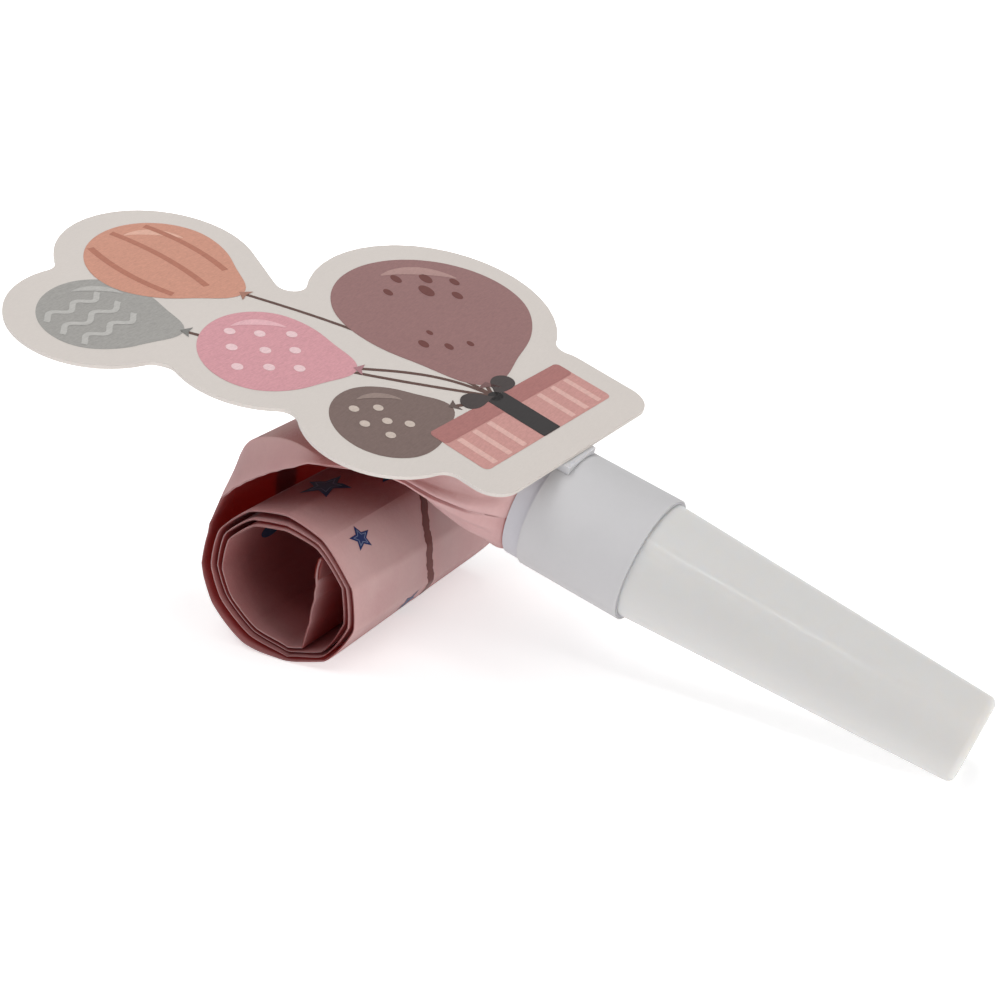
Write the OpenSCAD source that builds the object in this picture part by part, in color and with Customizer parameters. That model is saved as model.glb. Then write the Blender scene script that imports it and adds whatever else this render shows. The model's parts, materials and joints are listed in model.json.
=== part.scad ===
// Party horn blower: a plastic mouthpiece with a reed, a white paper collar, and a flattened paper tube
// that is rolled up by a spring strip inside it. A printed die-cut card is taped on top of the collar.
// The blower lies as it rests on a table: on the bottom of the roll and on the rim of the mouth end.
// Tube frame: the tube's axis is X, the mouth end's centre is the origin and +X points out of the mouth.

/* [Mouthpiece] */
// Outer diameter at the mouth end
mouth_d = 12; // [11:0.1:13]
// Outer diameter of the taper at the paper collar
taper_d = 16.9; // [16:0.1:18]
// Length of the taper in front of the collar
taper_len = 47; // [40:0.5:60]
// Length of the parallel spigot inside the collar
spigot_len = 10; // [9:0.1:10.6]
// Wall thickness at the mouth end
mouth_wall = 1.4; // [1.2:0.05:1.6]
// Wall thickness of the spigot
spigot_wall = 1.2; // [1:0.05:1.4]
// Radius of the rounded lip, outside
lip_r = 1.1; // [0.8:0.05:1.15]
// Radius of the rounded lip, inside
lip_inner_r = 0.25; // [0.1:0.05:0.3]
// Length of the parallel bore behind the lip
mouth_bore_len = 8; // [6:0.5:10]

/* [Reed] */
// Thickness of the reed carrier's disc
reed_disc_t = 1.6; // [1.2:0.1:2]
// Step that the disc seats on
reed_seat_step = 0.6; // [0.4:0.1:0.8]
// Length of the half-round trough
trough_len = 14; // [12:0.5:18]
// Outer radius of the trough
trough_r = 2.6; // [2.4:0.1:3]
// Wall of the trough
trough_wall = 0.8; // [0.6:0.1:0.9]
// Thickness of the reed tongue
tongue_t = 0.15; // [0.1:0.01:0.2]
// Width of the reed tongue
tongue_w = 4.2; // [3.8:0.1:4.6]
// Length of the clip that holds the tongue's root
clip_len = 2.6; // [2:0.1:3]
// Thickness of the clip
clip_t = 0.6; // [0.5:0.05:0.8]
// Room for the tongue under the clip
clip_room = 0.4; // [0.35:0.05:0.5]

/* [Collar] */
// Length of the outer paper sleeve
sleeve_len = 15.6; // [13:0.1:17]
// Wall of the outer paper sleeve
sleeve_wall = 0.27; // [0.2:0.01:0.35]
// Length of the inner paper tube
tube_len = 18.2; // [17.5:0.1:20]
// Wall of the inner paper tube
tube_wall = 0.25; // [0.2:0.01:0.3]
// Angle of the lap where the sleeve's paper overlaps itself
lap_angle = 42; // [25:1:60]

/* [Paper tube] */
// Width of the paper tube pressed flat
flat_w = 39.2; // [34:0.1:42]
// Thickness of the flattened tube
strip_t = 0.4; // [0.36:0.01:0.44]
// Thickness of one ply of paper
ply = 0.08; // [0.06:0.01:0.1]
// Length of the gathered neck, from the collar to the first bend
neck_len = 23; // [20:0.5:27]
// Gap between the paper glued into the collar and the spigot
root_gap = 1.2; // [0.8:0.1:2]
// Narrowest half-width of the gathered neck
gather_w = 10.4; // [9.5:0.1:11]
// Depth of the gathered pleats at the collar
pleat_d = 0.5; // [0.2:0.05:0.6]
// Length of each bend of the roll
panel_len = 15.72; // [15.4:0.02:15.8]
// Bend radius of the loose first loop
loose_r = 17.57; // [17:0.05:18]
// Bend radius where the tight roll begins
coil_outer_r = 12.45; // [12.35:0.01:12.5]
// Bend radius at the core
coil_inner_r = 9.77; // [9.7:0.01:9.9]
// Sharpness of the crease before the end flap, in degrees
crease_angle = 59.9; // [58:0.1:62]
// Length of the straight end flap
flap_len = 16.4; // [14:0.1:16.8]
// Length of the folded end tab
tab_len = 4.5; // [3:0.1:6]

/* [Recoil strip] */
// Width of the spring strip inside the paper
recoil_w = 5; // [3:0.5:8]
// Thickness of the spring strip
recoil_t = 0.12; // [0.08:0.01:0.14]
// How far the strip stays short of the paper's end in the collar
recoil_inset = 2; // [1:0.1:3]

/* [Card] */
// Length of the balloon bunch along the tube
bunch_len = 78; // [60:1:95]
// White border round the printed shapes
card_border = 4; // [2:0.1:5]
// Thickness of the card
card_t = 0.5; // [0.3:0.05:0.8]
// Roll of the card round the tube, in degrees
card_roll = 6; // [-10:1:10]
// How far the card reaches over the collar
card_overlap = 5.2; // [4.5:0.1:8]
// Thinnest place of the tape pad between card and sleeve
pad_t = 0.5; // [0.3:0.05:0.8]
// Width of the tape pad
pad_w = 7; // [5:0.5:9]
// Length of the tape pad along the tube
pad_len = 4.2; // [3:0.1:4.4]

/* [Hidden] */
$fn = 96;
panels = 18;
loose_panels = 2;
ease_panels = 2;
// Air between glued or seated pieces
paste_gap = 0.05;
// Gap between the ends of two neighbouring bends
hinge_gap = 0.12;
// Play between the reed tongue and what it lies over
tongue_play = 0.06;
// Overrun of every cut
over = 1;
// Roundness of the notches and corners in the card's outline
card_fillet = 2.4;
// Sides of a soft curve in the card's outline
card_sides = 40;

mouth_r = mouth_d / 2;
taper_r = taper_d / 2;
mouth_bore_r = mouth_r - mouth_wall;
seat_r = taper_r - spigot_wall;
spigot_bore_r = seat_r - reed_seat_step;
spigot_end = taper_len + spigot_len;
tube_inner_r = taper_r + paste_gap;
tube_r = tube_inner_r + tube_wall;
sleeve_inner_r = tube_r + paste_gap;
sleeve_r = sleeve_inner_r + sleeve_wall;
collar_end = taper_len + tube_len;
neck_end = collar_end + neck_len;
neck_r = tube_inner_r - paste_gap;
neck_root = tube_len - spigot_len - root_gap;
recoil_root = neck_root - recoil_inset;

panel_names = [for (i = [1:panels]) str("paper_bend_", i < 10 ? "0" : "", i)];
recoil_names = [for (i = [1:panels]) str("recoil_strip_", i < 10 ? "0" : "", i)];

// The rolled strip. A bend is an arc of its own radius: the loose loop, an easing, then the tight roll
// that closes in steadily towards the core, and last the straight flap behind a sharp crease.

function coil_r(i) = let (first = loose_panels + ease_panels + 1, last = panels - 1)
    coil_outer_r + (coil_inner_r - coil_outer_r) * (i - first) / (last - first);

function curve_of(i) =
    i == panels ? 0 :
    i <= loose_panels ? 1 / loose_r :
    i <= loose_panels + ease_panels ?
        let (share = (i - loose_panels) / (ease_panels + 1)) (1 - share) / loose_r + share / coil_outer_r :
    1 / coil_r(i);

function length_of(i) = i == panels ? flap_len : panel_len;
function turn_of(i) = curve_of(i) * length_of(i) * 180 / PI;
function crease_before(i) = i == panels ? crease_angle : 0;

function arc_step(i, heading) = let (k = curve_of(i), t = turn_of(i))
    k == 0 ? length_of(i) * [cos(heading), sin(heading)] :
    [sin(heading + t) - sin(heading), cos(heading) - cos(heading + t)] / k;

// Start point and heading of every bend, in the tube frame's XZ plane
function walk(i, p, heading) = i > panels ? [] :
    let (h = heading + crease_before(i))
    concat([[p, h]], walk(i + 1, p + arc_step(i, h), h + turn_of(i)));

bends = walk(1, [-neck_end, 0], 180);

function start_of(i) = bends[i - 1][0];
function heading_of(i) = bends[i - 1][1];
function radius_of(i) = 1 / curve_of(i);
function centre_of(i) = start_of(i) + radius_of(i) * [-sin(heading_of(i)), cos(heading_of(i))];

// Each bend turns about a line on the outer skin of the roll, between its end and the next one's
function hinge_of(i) = let (h = heading_of(i) - crease_before(i) / 2)
    start_of(i) + strip_t / 2 / cos(crease_before(i) / 2) * [sin(h), -cos(h)];
function open_angle(i) =
    (i == 1 ? turn_of(1) / 2 : (turn_of(i - 1) + turn_of(i)) / 2) + crease_before(i);

// What is cut off a bend's end so that neighbours stay a hinge gap apart
function trim_at(i) = hinge_gap / 2 + strip_t / 2 * tan(crease_before(i) / 2);
function trim_start(i) = trim_at(i);
function trim_end(i) = i == panels ? 0 : trim_at(i + 1);

// The tube's tilt: the table touches the lip's round and the lowest bend of the roll.
skin_steps = 6;
skin = [for (i = [1:panels - 1]) for (s = [0:skin_steps])
    let (a = heading_of(i) - 90 + turn_of(i) * s / skin_steps)
    centre_of(i) + (radius_of(i) + strip_t / 2) * [cos(a), sin(a)]];
lip_centre = [-lip_r, lip_r - mouth_r];
tilt = max([for (p = skin) let (d = lip_centre - p) atan2(d[1], d[0]) - asin(lip_r / norm(d))]);

// The card's motifs: a bunch of balloons tied to a gift. Places are shares of the bunch's length,
// from the collar's end towards the roll and across the tube; the last share is the balloon's radius.
balloon_shares = [
    [0.385, 0.180, 0.190],
    [0.820, -0.100, 0.135],
    [0.752, -0.316, 0.110],
    [0.495, -0.180, 0.122],
    [0.225, -0.185, 0.100],
];
// Length of a balloon's neck, as a share of its radius
balloon_neck_share = 1.28;
balloon_neck_r_share = 0.2;
// Size of the gift, how far it leans and how far it sits off the tube's middle
gift_w = 29;
gift_h = 10;
gift_lean = 5;
gift_side = 1.6;
// Half-width of the card where the strings run
string_w = 4.5;

balloons = [for (b = balloon_shares) bunch_len * b];
gift_centre = [card_border - card_overlap + (gift_h * cos(gift_lean) + gift_w * sin(gift_lean)) / 2, gift_side];
// Where the strings meet, on the gift's lid
knot = gift_centre + gift_h / 2 * [cos(gift_lean), sin(gift_lean)];

// How far a flat shape on the card reaches along a unit direction of the final frame
function card_dir(e) = let (
        x = e[0] * cos(tilt) - e[2] * sin(tilt),
        z = e[0] * sin(tilt) + e[2] * cos(tilt))
    [-x, e[1] * cos(card_roll) + z * sin(card_roll)];
function card_origin() = let (lift = sleeve_r + pad_t)
    [-collar_end, -lift * sin(card_roll), lift * cos(card_roll)];
function to_rest(p) = [p[0] * cos(tilt) + p[2] * sin(tilt), p[1], p[2] * cos(tilt) - p[0] * sin(tilt)];
function reach(e) = let (d = card_dir(e))
    max([for (b = balloons) [b[0], b[1]] * d + norm(d) * (b[2] + card_border)]) + to_rest(card_origin()) * e;

low_x = min(-reach([-1, 0, 0]), min([for (p = skin) to_rest([p[0], 0, p[1]])[0]]));
high_x = to_rest([-lip_r, 0, mouth_r - lip_r])[0] + lip_r;
low_y = min(-reach([0, -1, 0]), -flat_w / 2);
high_y = max(reach([0, 1, 0]), flat_w / 2);
low_z = min([for (p = skin) to_rest([p[0], 0, p[1]])[2]]);
origin_shift = [-(low_x + high_x) / 2, -(low_y + high_y) / 2, -low_z];

module at_rest() {
    translate(origin_shift) rotate([0, tilt, 0]) children();
}

// A solid of revolution round the tube's axis from a profile of [distance along X, radius]
module turned(points) {
    rotate([0, 90, 0]) rotate_extrude() polygon([for (p = points) [p[1], p[0]]]);
}

module pipe(outer, inner, from, to) {
    turned([[from, inner], [from, outer], [to, outer], [to, inner]]);
}

function quarter(centre, r, from, steps) =
    [for (s = [0:steps]) centre + r * [cos(from + 90 * s / steps), sin(from + 90 * s / steps)]];

module mouthpiece() {
    lip_steps = 8;
    outer_lip = quarter([-lip_r, mouth_r - lip_r], lip_r, 0, lip_steps);
    inner_lip = quarter([-lip_inner_r, mouth_bore_r + lip_inner_r], lip_inner_r, -90, lip_steps);
    color([0.85, 0.84, 0.82]) at_rest() turned(concat(
        outer_lip,
        [[-taper_len, taper_r], [-spigot_end, taper_r],
         [-spigot_end, seat_r], [reed_disc_t - spigot_end, seat_r],
         [reed_disc_t - spigot_end, spigot_bore_r], [-taper_len, spigot_bore_r],
         [-mouth_bore_len, mouth_bore_r]],
        inner_lip));
}

// The reed's carrier: a disc in the end of the spigot with a half-round trough towards the mouth
module reed_carrier() {
    disc_r = seat_r - paste_gap;
    bore_r = trough_r - trough_wall;
    front = reed_disc_t - spigot_end;
    color([0.92, 0.88, 0.80]) at_rest() difference() {
        union() {
            pipe(disc_r, bore_r, -spigot_end, front);
            difference() {
                translate([front, 0, 0]) rotate([0, 90, 0]) cylinder(r = trough_r, h = trough_len);
                translate([front - over, -trough_r - over, 0])
                    cube([trough_len + 2 * over, 2 * (trough_r + over), trough_r + over]);
            }
        }
        translate([-spigot_end - over, 0, 0]) rotate([0, 90, 0])
            cylinder(r = bore_r, h = reed_disc_t + trough_len - trough_wall + over);
    }
}

// A bridge over the trough that keeps the reed tongue's root down
module reed_clip() {
    front = reed_disc_t - spigot_end + paste_gap;
    outer = trough_r + paste_gap + clip_t;
    top = clip_room + tongue_t + clip_t;
    color([0.75, 0.20, 0.20]) at_rest() difference() {
        union() {
            translate([front, 0, 0]) rotate([0, 90, 0]) cylinder(r = outer, h = clip_len);
            translate([front, -outer, 0]) cube([clip_len, 2 * outer, top]);
        }
        translate([front - over, 0, 0]) rotate([0, 90, 0])
            cylinder(r = trough_r + paste_gap, h = clip_len + 2 * over);
        translate([front - over, -trough_r - paste_gap, 0])
            cube([clip_len + 2 * over, 2 * (trough_r + paste_gap), top - clip_t]);
        translate([front - over, -outer, top]) cube([clip_len + 2 * over, 2 * outer, outer]);
    }
}

// The tongue lies on the trough's rim and springs up at its root
module reed_tongue() {
    root = reed_disc_t - spigot_end + 2 * paste_gap;
    color([0.95, 0.95, 0.92]) at_rest() translate([root, -tongue_w / 2, tongue_play])
        cube([trough_len - 2 * paste_gap, tongue_w, tongue_t]);
}

module inner_tube() {
    color([0.93, 0.93, 0.94]) at_rest() pipe(tube_r, tube_inner_r, -collar_end, -taper_len);
}

// The sleeve's paper laps over itself along one seam on the underside
module outer_sleeve() {
    color([0.96, 0.96, 0.97]) at_rest() {
        pipe(sleeve_r, sleeve_inner_r, -taper_len - sleeve_len, -taper_len);
        translate([-taper_len - sleeve_len, 0, 0]) rotate([0, 90, 0]) rotate([0, 0, lap_angle / 2])
            rotate_extrude(angle = lap_angle)
                translate([sleeve_r - sleeve_wall / 2, 0]) square([sleeve_wall, sleeve_len]);
    }
}

// The neck is lofted from the round, pleated end in the collar to the flat strip. Each section is
// [distance from the collar's end, half-width, half-thickness, pleat depth, squareness].
neck_shares = [[-1, 1], [0, 1], [0.14, 0.94], [0.30, 0.80], [0.46, 0.60], [0.62, 0.42], [0.76, 0.26],
    [0.88, 0.13], [1, 0]];
neck_sides = 48;
pleats = 12;
// Where the neck begins to flare out
flare_share = 0.62;
// How square the flat end's section is
flat_power = 0.2;

function smooth(u) = u * u * (3 - 2 * u);
function neck_width(s) = let (from = neck_r - pleat_d)
    s <= 0 ? from :
    s < flare_share ? from + (gather_w - from) * sin(90 * s / flare_share) :
    gather_w + (flat_w / 2 - gather_w) * smooth((s - flare_share) / (1 - flare_share));

function neck_section(share, round_share, inset) = let (
        x = -collar_end + (share < 0 ? neck_root : share == 1 ? hinge_gap / 2 - neck_len : -neck_len * share),
        w = (share == 1 ? flat_w / 2 : neck_width(share)) - inset,
        t = strip_t / 2 + (neck_r - pleat_d - strip_t / 2) * round_share - inset,
        power = flat_power + (1 - flat_power) * round_share)
    [for (j = [0:neck_sides - 1]) let (
            a = 360 * j / neck_sides,
            fold = 1 + pleat_d * round_share * round_share * cos(pleats * a) / neck_r)
        [x, w * fold * cos(a), t * fold * sign(sin(a)) * pow(abs(sin(a)), power)]];

module lofted(sections) {
    n = len(sections[0]);
    m = len(sections);
    polyhedron(
        points = [for (s = sections) for (p = s) p],
        faces = [for (k = [0:m - 1]) for (j = [0:n - 1]) let (
                a = k * n + j, b = k * n + (j + 1) % n,
                c = (k + 1) % m * n + (j + 1) % n, d = (k + 1) % m * n + j)
            each [[a, b, c], [a, c, d]]]);
}

module paper_neck() {
    count = len(neck_shares);
    outer = [for (s = neck_shares) neck_section(s[0], s[1], 0)];
    inner = [for (k = [count - 1:-1:0]) neck_section(neck_shares[k][0], neck_shares[k][1], ply)];
    color([0.85, 0.62, 0.62]) at_rest() lofted(concat(outer, inner));
}

module strip_section(w, t, wall) {
    difference() {
        square([t, w], center = true);
        if (wall > 0) square([t - 2 * wall, w - 2 * wall], center = true);
    }
}

// One bend of a flat strip that follows the roll's middle line
module bend_solid(i, w, t, wall, short) {
    h = heading_of(i);
    if (curve_of(i) == 0) {
        p = start_of(i);
        translate([p[0], 0, p[1]]) rotate([0, -h, 0]) translate([trim_start(i), 0, 0]) rotate([0, 90, 0])
            linear_extrude(length_of(i) - trim_start(i) - trim_end(i) - short) strip_section(w, t, wall);
    } else {
        c = centre_of(i);
        r = radius_of(i);
        per_mm = 180 / PI / r;
        translate([c[0], 0, c[1]]) rotate([90, 0, 0]) rotate([0, 0, h - 90 + trim_start(i) * per_mm])
            rotate_extrude(angle = turn_of(i) - (trim_start(i) + trim_end(i)) * per_mm)
                translate([r, 0]) strip_section(w, t, wall);
    }
}

module paper_bend(i) {
    color(i % 2 == 0 ? [0.86, 0.64, 0.64] : [0.82, 0.58, 0.59]) at_rest() bend_solid(i, flat_w, strip_t, ply, 0);
}

module recoil_bend(i) {
    color([0.80, 0.85, 0.90]) at_rest() bend_solid(i, recoil_w, recoil_t, 0, i == panels ? tab_len : 0);
}

// The strip's root lies flat in the neck and is caught in the collar
module recoil_root() {
    color([0.80, 0.85, 0.90]) at_rest() translate([hinge_gap / 2 - neck_end, -recoil_w / 2, -recoil_t / 2])
        cube([neck_len + recoil_root - hinge_gap / 2, recoil_w, recoil_t]);
}

// The paper's end is folded over the flap and glued shut
module end_tab() {
    p = start_of(panels);
    h = heading_of(panels);
    room = strip_t / 2 + paste_gap;
    color([0.80, 0.55, 0.56]) at_rest() translate([p[0], 0, p[1]]) rotate([0, -h, 0])
        translate([flap_len - tab_len, 0, 0]) difference() {
            translate([0, -flat_w / 2, -room - ply]) cube([tab_len + paste_gap + ply, flat_w, 2 * (room + ply)]);
            translate([-over, -flat_w / 2 - over, -room]) cube([tab_len + paste_gap + over, flat_w + 2 * over, 2 * room]);
        }
}

// The card's flat shapes, seen from above: X along the tube away from the mouth, Y across it
module balloon(b) {
    away = knot - [b[0], b[1]];
    hull() {
        translate([b[0], b[1]]) circle(r = b[2]);
        translate([b[0], b[1]] + away / norm(away) * b[2] * balloon_neck_share)
            circle(r = b[2] * balloon_neck_r_share);
    }
}

module gift() {
    translate(gift_centre) rotate([0, 0, gift_lean]) square([gift_h, gift_w], center = true);
}

module card_outline() {
    offset(r = -card_fillet) offset(r = card_fillet + card_border) {
        for (b = balloons) balloon(b);
        gift();
        hull() {
            translate(knot) circle(r = string_w - card_border / 2);
            translate([balloons[0][0], balloons[0][1] / 2]) circle(r = string_w);
            translate([balloons[3][0], balloons[3][1] / 2]) circle(r = string_w);
        }
        hull() {
            translate([balloons[3][0], balloons[3][1]]) circle(r = string_w);
            translate([balloons[1][0], balloons[1][1]]) circle(r = string_w);
            translate([balloons[2][0], balloons[2][1]]) circle(r = string_w);
        }
    }
}

module on_card() {
    at_rest() rotate([card_roll, 0, 0]) translate([-collar_end, 0, sleeve_r + pad_t]) children();
}

module card() {
    color([0.93, 0.90, 0.87]) on_card() linear_extrude(card_t) mirror([1, 0]) card_outline($fn = card_sides);
}

// A soft tape pad fills the space between the round collar and the flat card
module card_tape() {
    step = tube_len - sleeve_len;
    room = paste_gap;
    color([0.90, 0.88, 0.80]) difference() {
        on_card() translate([(card_overlap - pad_len) / 2, -pad_w / 2, -sleeve_r])
            cube([pad_len, pad_w, sleeve_r]);
        at_rest() translate([-collar_end - over, 0, 0]) rotate([0, 90, 0])
            cylinder(r = tube_r + room, h = step + 2 * over);
        at_rest() translate([-collar_end + step - room, 0, 0]) rotate([0, 90, 0])
            cylinder(r = sleeve_r + room, h = sleeve_len);
    }
}

mouthpiece();
reed_carrier();
reed_clip();
reed_tongue();
inner_tube();
outer_sleeve();
paper_neck();
recoil_root();
card();
card_tape();
end_tab();
for (i = [1:panels]) paper_bend(i);
for (i = [1:panels]) recoil_bend(i);
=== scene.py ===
"""Looks of a party horn blower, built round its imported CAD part.

The plastic mouthpiece, the reed, the paper collar, the tape and the die-cut card keep their CAD
meshes and get procedural materials. The rolled paper tube, the spring strip inside it and its end
tab are soft, so sheets with folds, dents and creases replace their CAD solids. The card's and the
roll's prints are thin sheets of ink of their own.

Lengths are in millimetres until a mesh is made, and then in metres.
"""

import json
import logging
import math
from dataclasses import dataclass, field
from enum import Enum

import bpy
import numpy as np
from mathutils import Matrix, Vector

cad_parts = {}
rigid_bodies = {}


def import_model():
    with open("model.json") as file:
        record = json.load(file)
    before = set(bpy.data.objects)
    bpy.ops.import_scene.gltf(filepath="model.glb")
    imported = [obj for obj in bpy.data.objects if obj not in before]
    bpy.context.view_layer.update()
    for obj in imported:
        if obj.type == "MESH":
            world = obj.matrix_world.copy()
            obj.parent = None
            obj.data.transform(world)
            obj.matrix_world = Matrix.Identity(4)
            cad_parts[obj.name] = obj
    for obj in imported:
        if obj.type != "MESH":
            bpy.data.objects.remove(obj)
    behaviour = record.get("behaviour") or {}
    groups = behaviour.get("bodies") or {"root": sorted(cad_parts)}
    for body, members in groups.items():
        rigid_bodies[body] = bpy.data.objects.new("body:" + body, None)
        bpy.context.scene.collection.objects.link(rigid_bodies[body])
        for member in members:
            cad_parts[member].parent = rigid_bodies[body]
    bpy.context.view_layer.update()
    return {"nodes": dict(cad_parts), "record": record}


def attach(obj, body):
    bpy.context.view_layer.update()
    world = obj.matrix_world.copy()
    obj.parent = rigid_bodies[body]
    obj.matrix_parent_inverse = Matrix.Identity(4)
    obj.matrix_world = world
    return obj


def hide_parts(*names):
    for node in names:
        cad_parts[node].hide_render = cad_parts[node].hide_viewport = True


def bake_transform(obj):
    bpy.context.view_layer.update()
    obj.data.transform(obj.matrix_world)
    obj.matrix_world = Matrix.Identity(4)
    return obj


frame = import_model()

log = logging.getLogger("blower")
MM = 0.001
TURN = 2 * math.pi
Array = np.ndarray
Pair = tuple[float, float]
Triple = tuple[float, float, float]
Quad = tuple[float, float, float, float]
Rgb = tuple[float, float, float]
Material = bpy.types.Material
Socket = bpy.types.NodeSocket
Piece = bpy.types.Object


class Layer(Enum):
    """Heights of the printed inks over the card, in millimetres."""

    FAR = 0.020
    MIDDLE = 0.032
    NEAR = 0.044
    DETAIL = 0.056
    TOP = 0.068


def smooth(u: Array) -> Array:
    """Eases a share: 0 up to 0, 1 from 1 on, and a smooth rise between."""
    u = np.clip(u, 0.0, 1.0)
    return u * u * (3.0 - 2.0 * u)


def rise(at: Array, start: float, over: float) -> Array:
    """Eases from 0 at a start to 1 after a distance."""
    return smooth((at - start) / over)


def linear(rgb: Rgb) -> Quad:
    """Turns a display colour, 0 to 255, into a shader colour with full alpha."""
    part = [c / 255.0 for c in rgb]
    return (*[c / 12.92 if c <= 0.04045 else ((c + 0.055) / 1.055) ** 2.4 for c in part], 1.0)


@dataclass
class NodeTree:
    """A material's nodes, made by short calls."""

    name: str
    material: Material = field(init=False)

    def __post_init__(self) -> None:
        """Makes the empty material."""
        self.material = bpy.data.materials.new(self.name)
        self.material.use_nodes = True
        self.material.node_tree.nodes.clear()

    def add(self, kind: str, **settings: object) -> bpy.types.Node:
        """Adds a node.

        Args:
            kind: The node's type name.
            settings: Attributes by name, and input sockets by name with _ for a space.

        Returns:
            The new node.
        """
        node = self.material.node_tree.nodes.new(kind)
        for key, value in settings.items():
            if hasattr(node, key):
                setattr(node, key, value)
            else:
                self.put(node, key.replace("_", " "), value)
        return node

    def put(self, node: bpy.types.Node, socket: str | int, value: object) -> None:
        """Sets an input, or links it to another node's output.

        Args:
            node: The node that has the input.
            socket: The input's name or number.
            value: A plain value, or an output socket.
        """
        slot = node.inputs[socket]
        if isinstance(value, Socket):
            self.material.node_tree.links.new(value, slot)
        else:
            slot.default_value = value

    def maths(self, operation: str, a: object, b: object = 0.0, c: object = 0.0) -> Socket:
        """Adds one sum.

        Args:
            operation: The math node's operation.
            a: First value or output.
            b: Second value or output.
            c: Third value or output.

        Returns:
            The result's output.
        """
        node = self.add("ShaderNodeMath", operation=operation)
        for i, value in enumerate((a, b, c)):
            self.put(node, i, value)
        return node.outputs[0]

    def mix(self, share: object, a: object, b: object, blend: str = "MIX") -> Socket:
        """Mixes two colours.

        Args:
            share: How much of the second colour shows.
            a: First colour.
            b: Second colour.
            blend: The mix node's blend type.

        Returns:
            The mixed colour's output.
        """
        node = self.add("ShaderNodeMix", data_type="RGBA", blend_type=blend)
        for i, value in ((0, share), (6, a), (7, b)):
            self.put(node, i, value)
        return node.outputs[2]

    def tint(self, colour: object, grey: Socket) -> Socket:
        """Multiplies a colour by a grey, and gives the darker colour's output."""
        shade = self.add("ShaderNodeCombineColor", Red=grey, Green=grey, Blue=grey).outputs[0]
        return self.mix(1.0, colour, shade, "MULTIPLY")

    def noise(self, scale: float, detail: float, place: Socket, roughness: float = 0.5) -> Socket:
        """Adds a noise texture, and gives its factor's output."""
        return self.add("ShaderNodeTexNoise", Vector=place, Scale=scale, Detail=detail,
                        Roughness=roughness).outputs[0]

    def stretched(self, scale: Triple, place: Socket) -> Socket:
        """Scales a place by other shares along each axis."""
        return self.add("ShaderNodeMapping", Scale=scale, Vector=place).outputs[0]

    def ramp(self, value: Socket, low: float, high: float) -> Socket:
        """Maps a value to a grey that rises from black to white.

        Args:
            value: The output to map.
            low: Where it is black.
            high: Where it is white.

        Returns:
            The ramp's colour output.
        """
        node = self.add("ShaderNodeValToRGB", Fac=value)
        for element, place, grey in zip(node.color_ramp.elements, (low, high), (0.0, 1.0)):
            element.position = place
            element.color = (grey, grey, grey, 1.0)
        return node.outputs[0]

    def bump(self, height: Socket, strength: float, distance: float,
             under: Socket | None = None) -> Socket:
        """Adds a bump.

        Args:
            height: The height's output.
            strength: From 0 to 1.
            distance: Height of the bump in metres.
            under: Normal output of a bump below this one.

        Returns:
            The normal's output.
        """
        node = self.add("ShaderNodeBump", Strength=strength, Distance=distance, Height=height)
        if under is not None:
            self.put(node, "Normal", under)
        return node.outputs[0]

    def finish(self, shader: Socket) -> Material:
        """Links the surface, and gives the finished material."""
        self.add("ShaderNodeOutputMaterial", Surface=shader)
        return self.material


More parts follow.
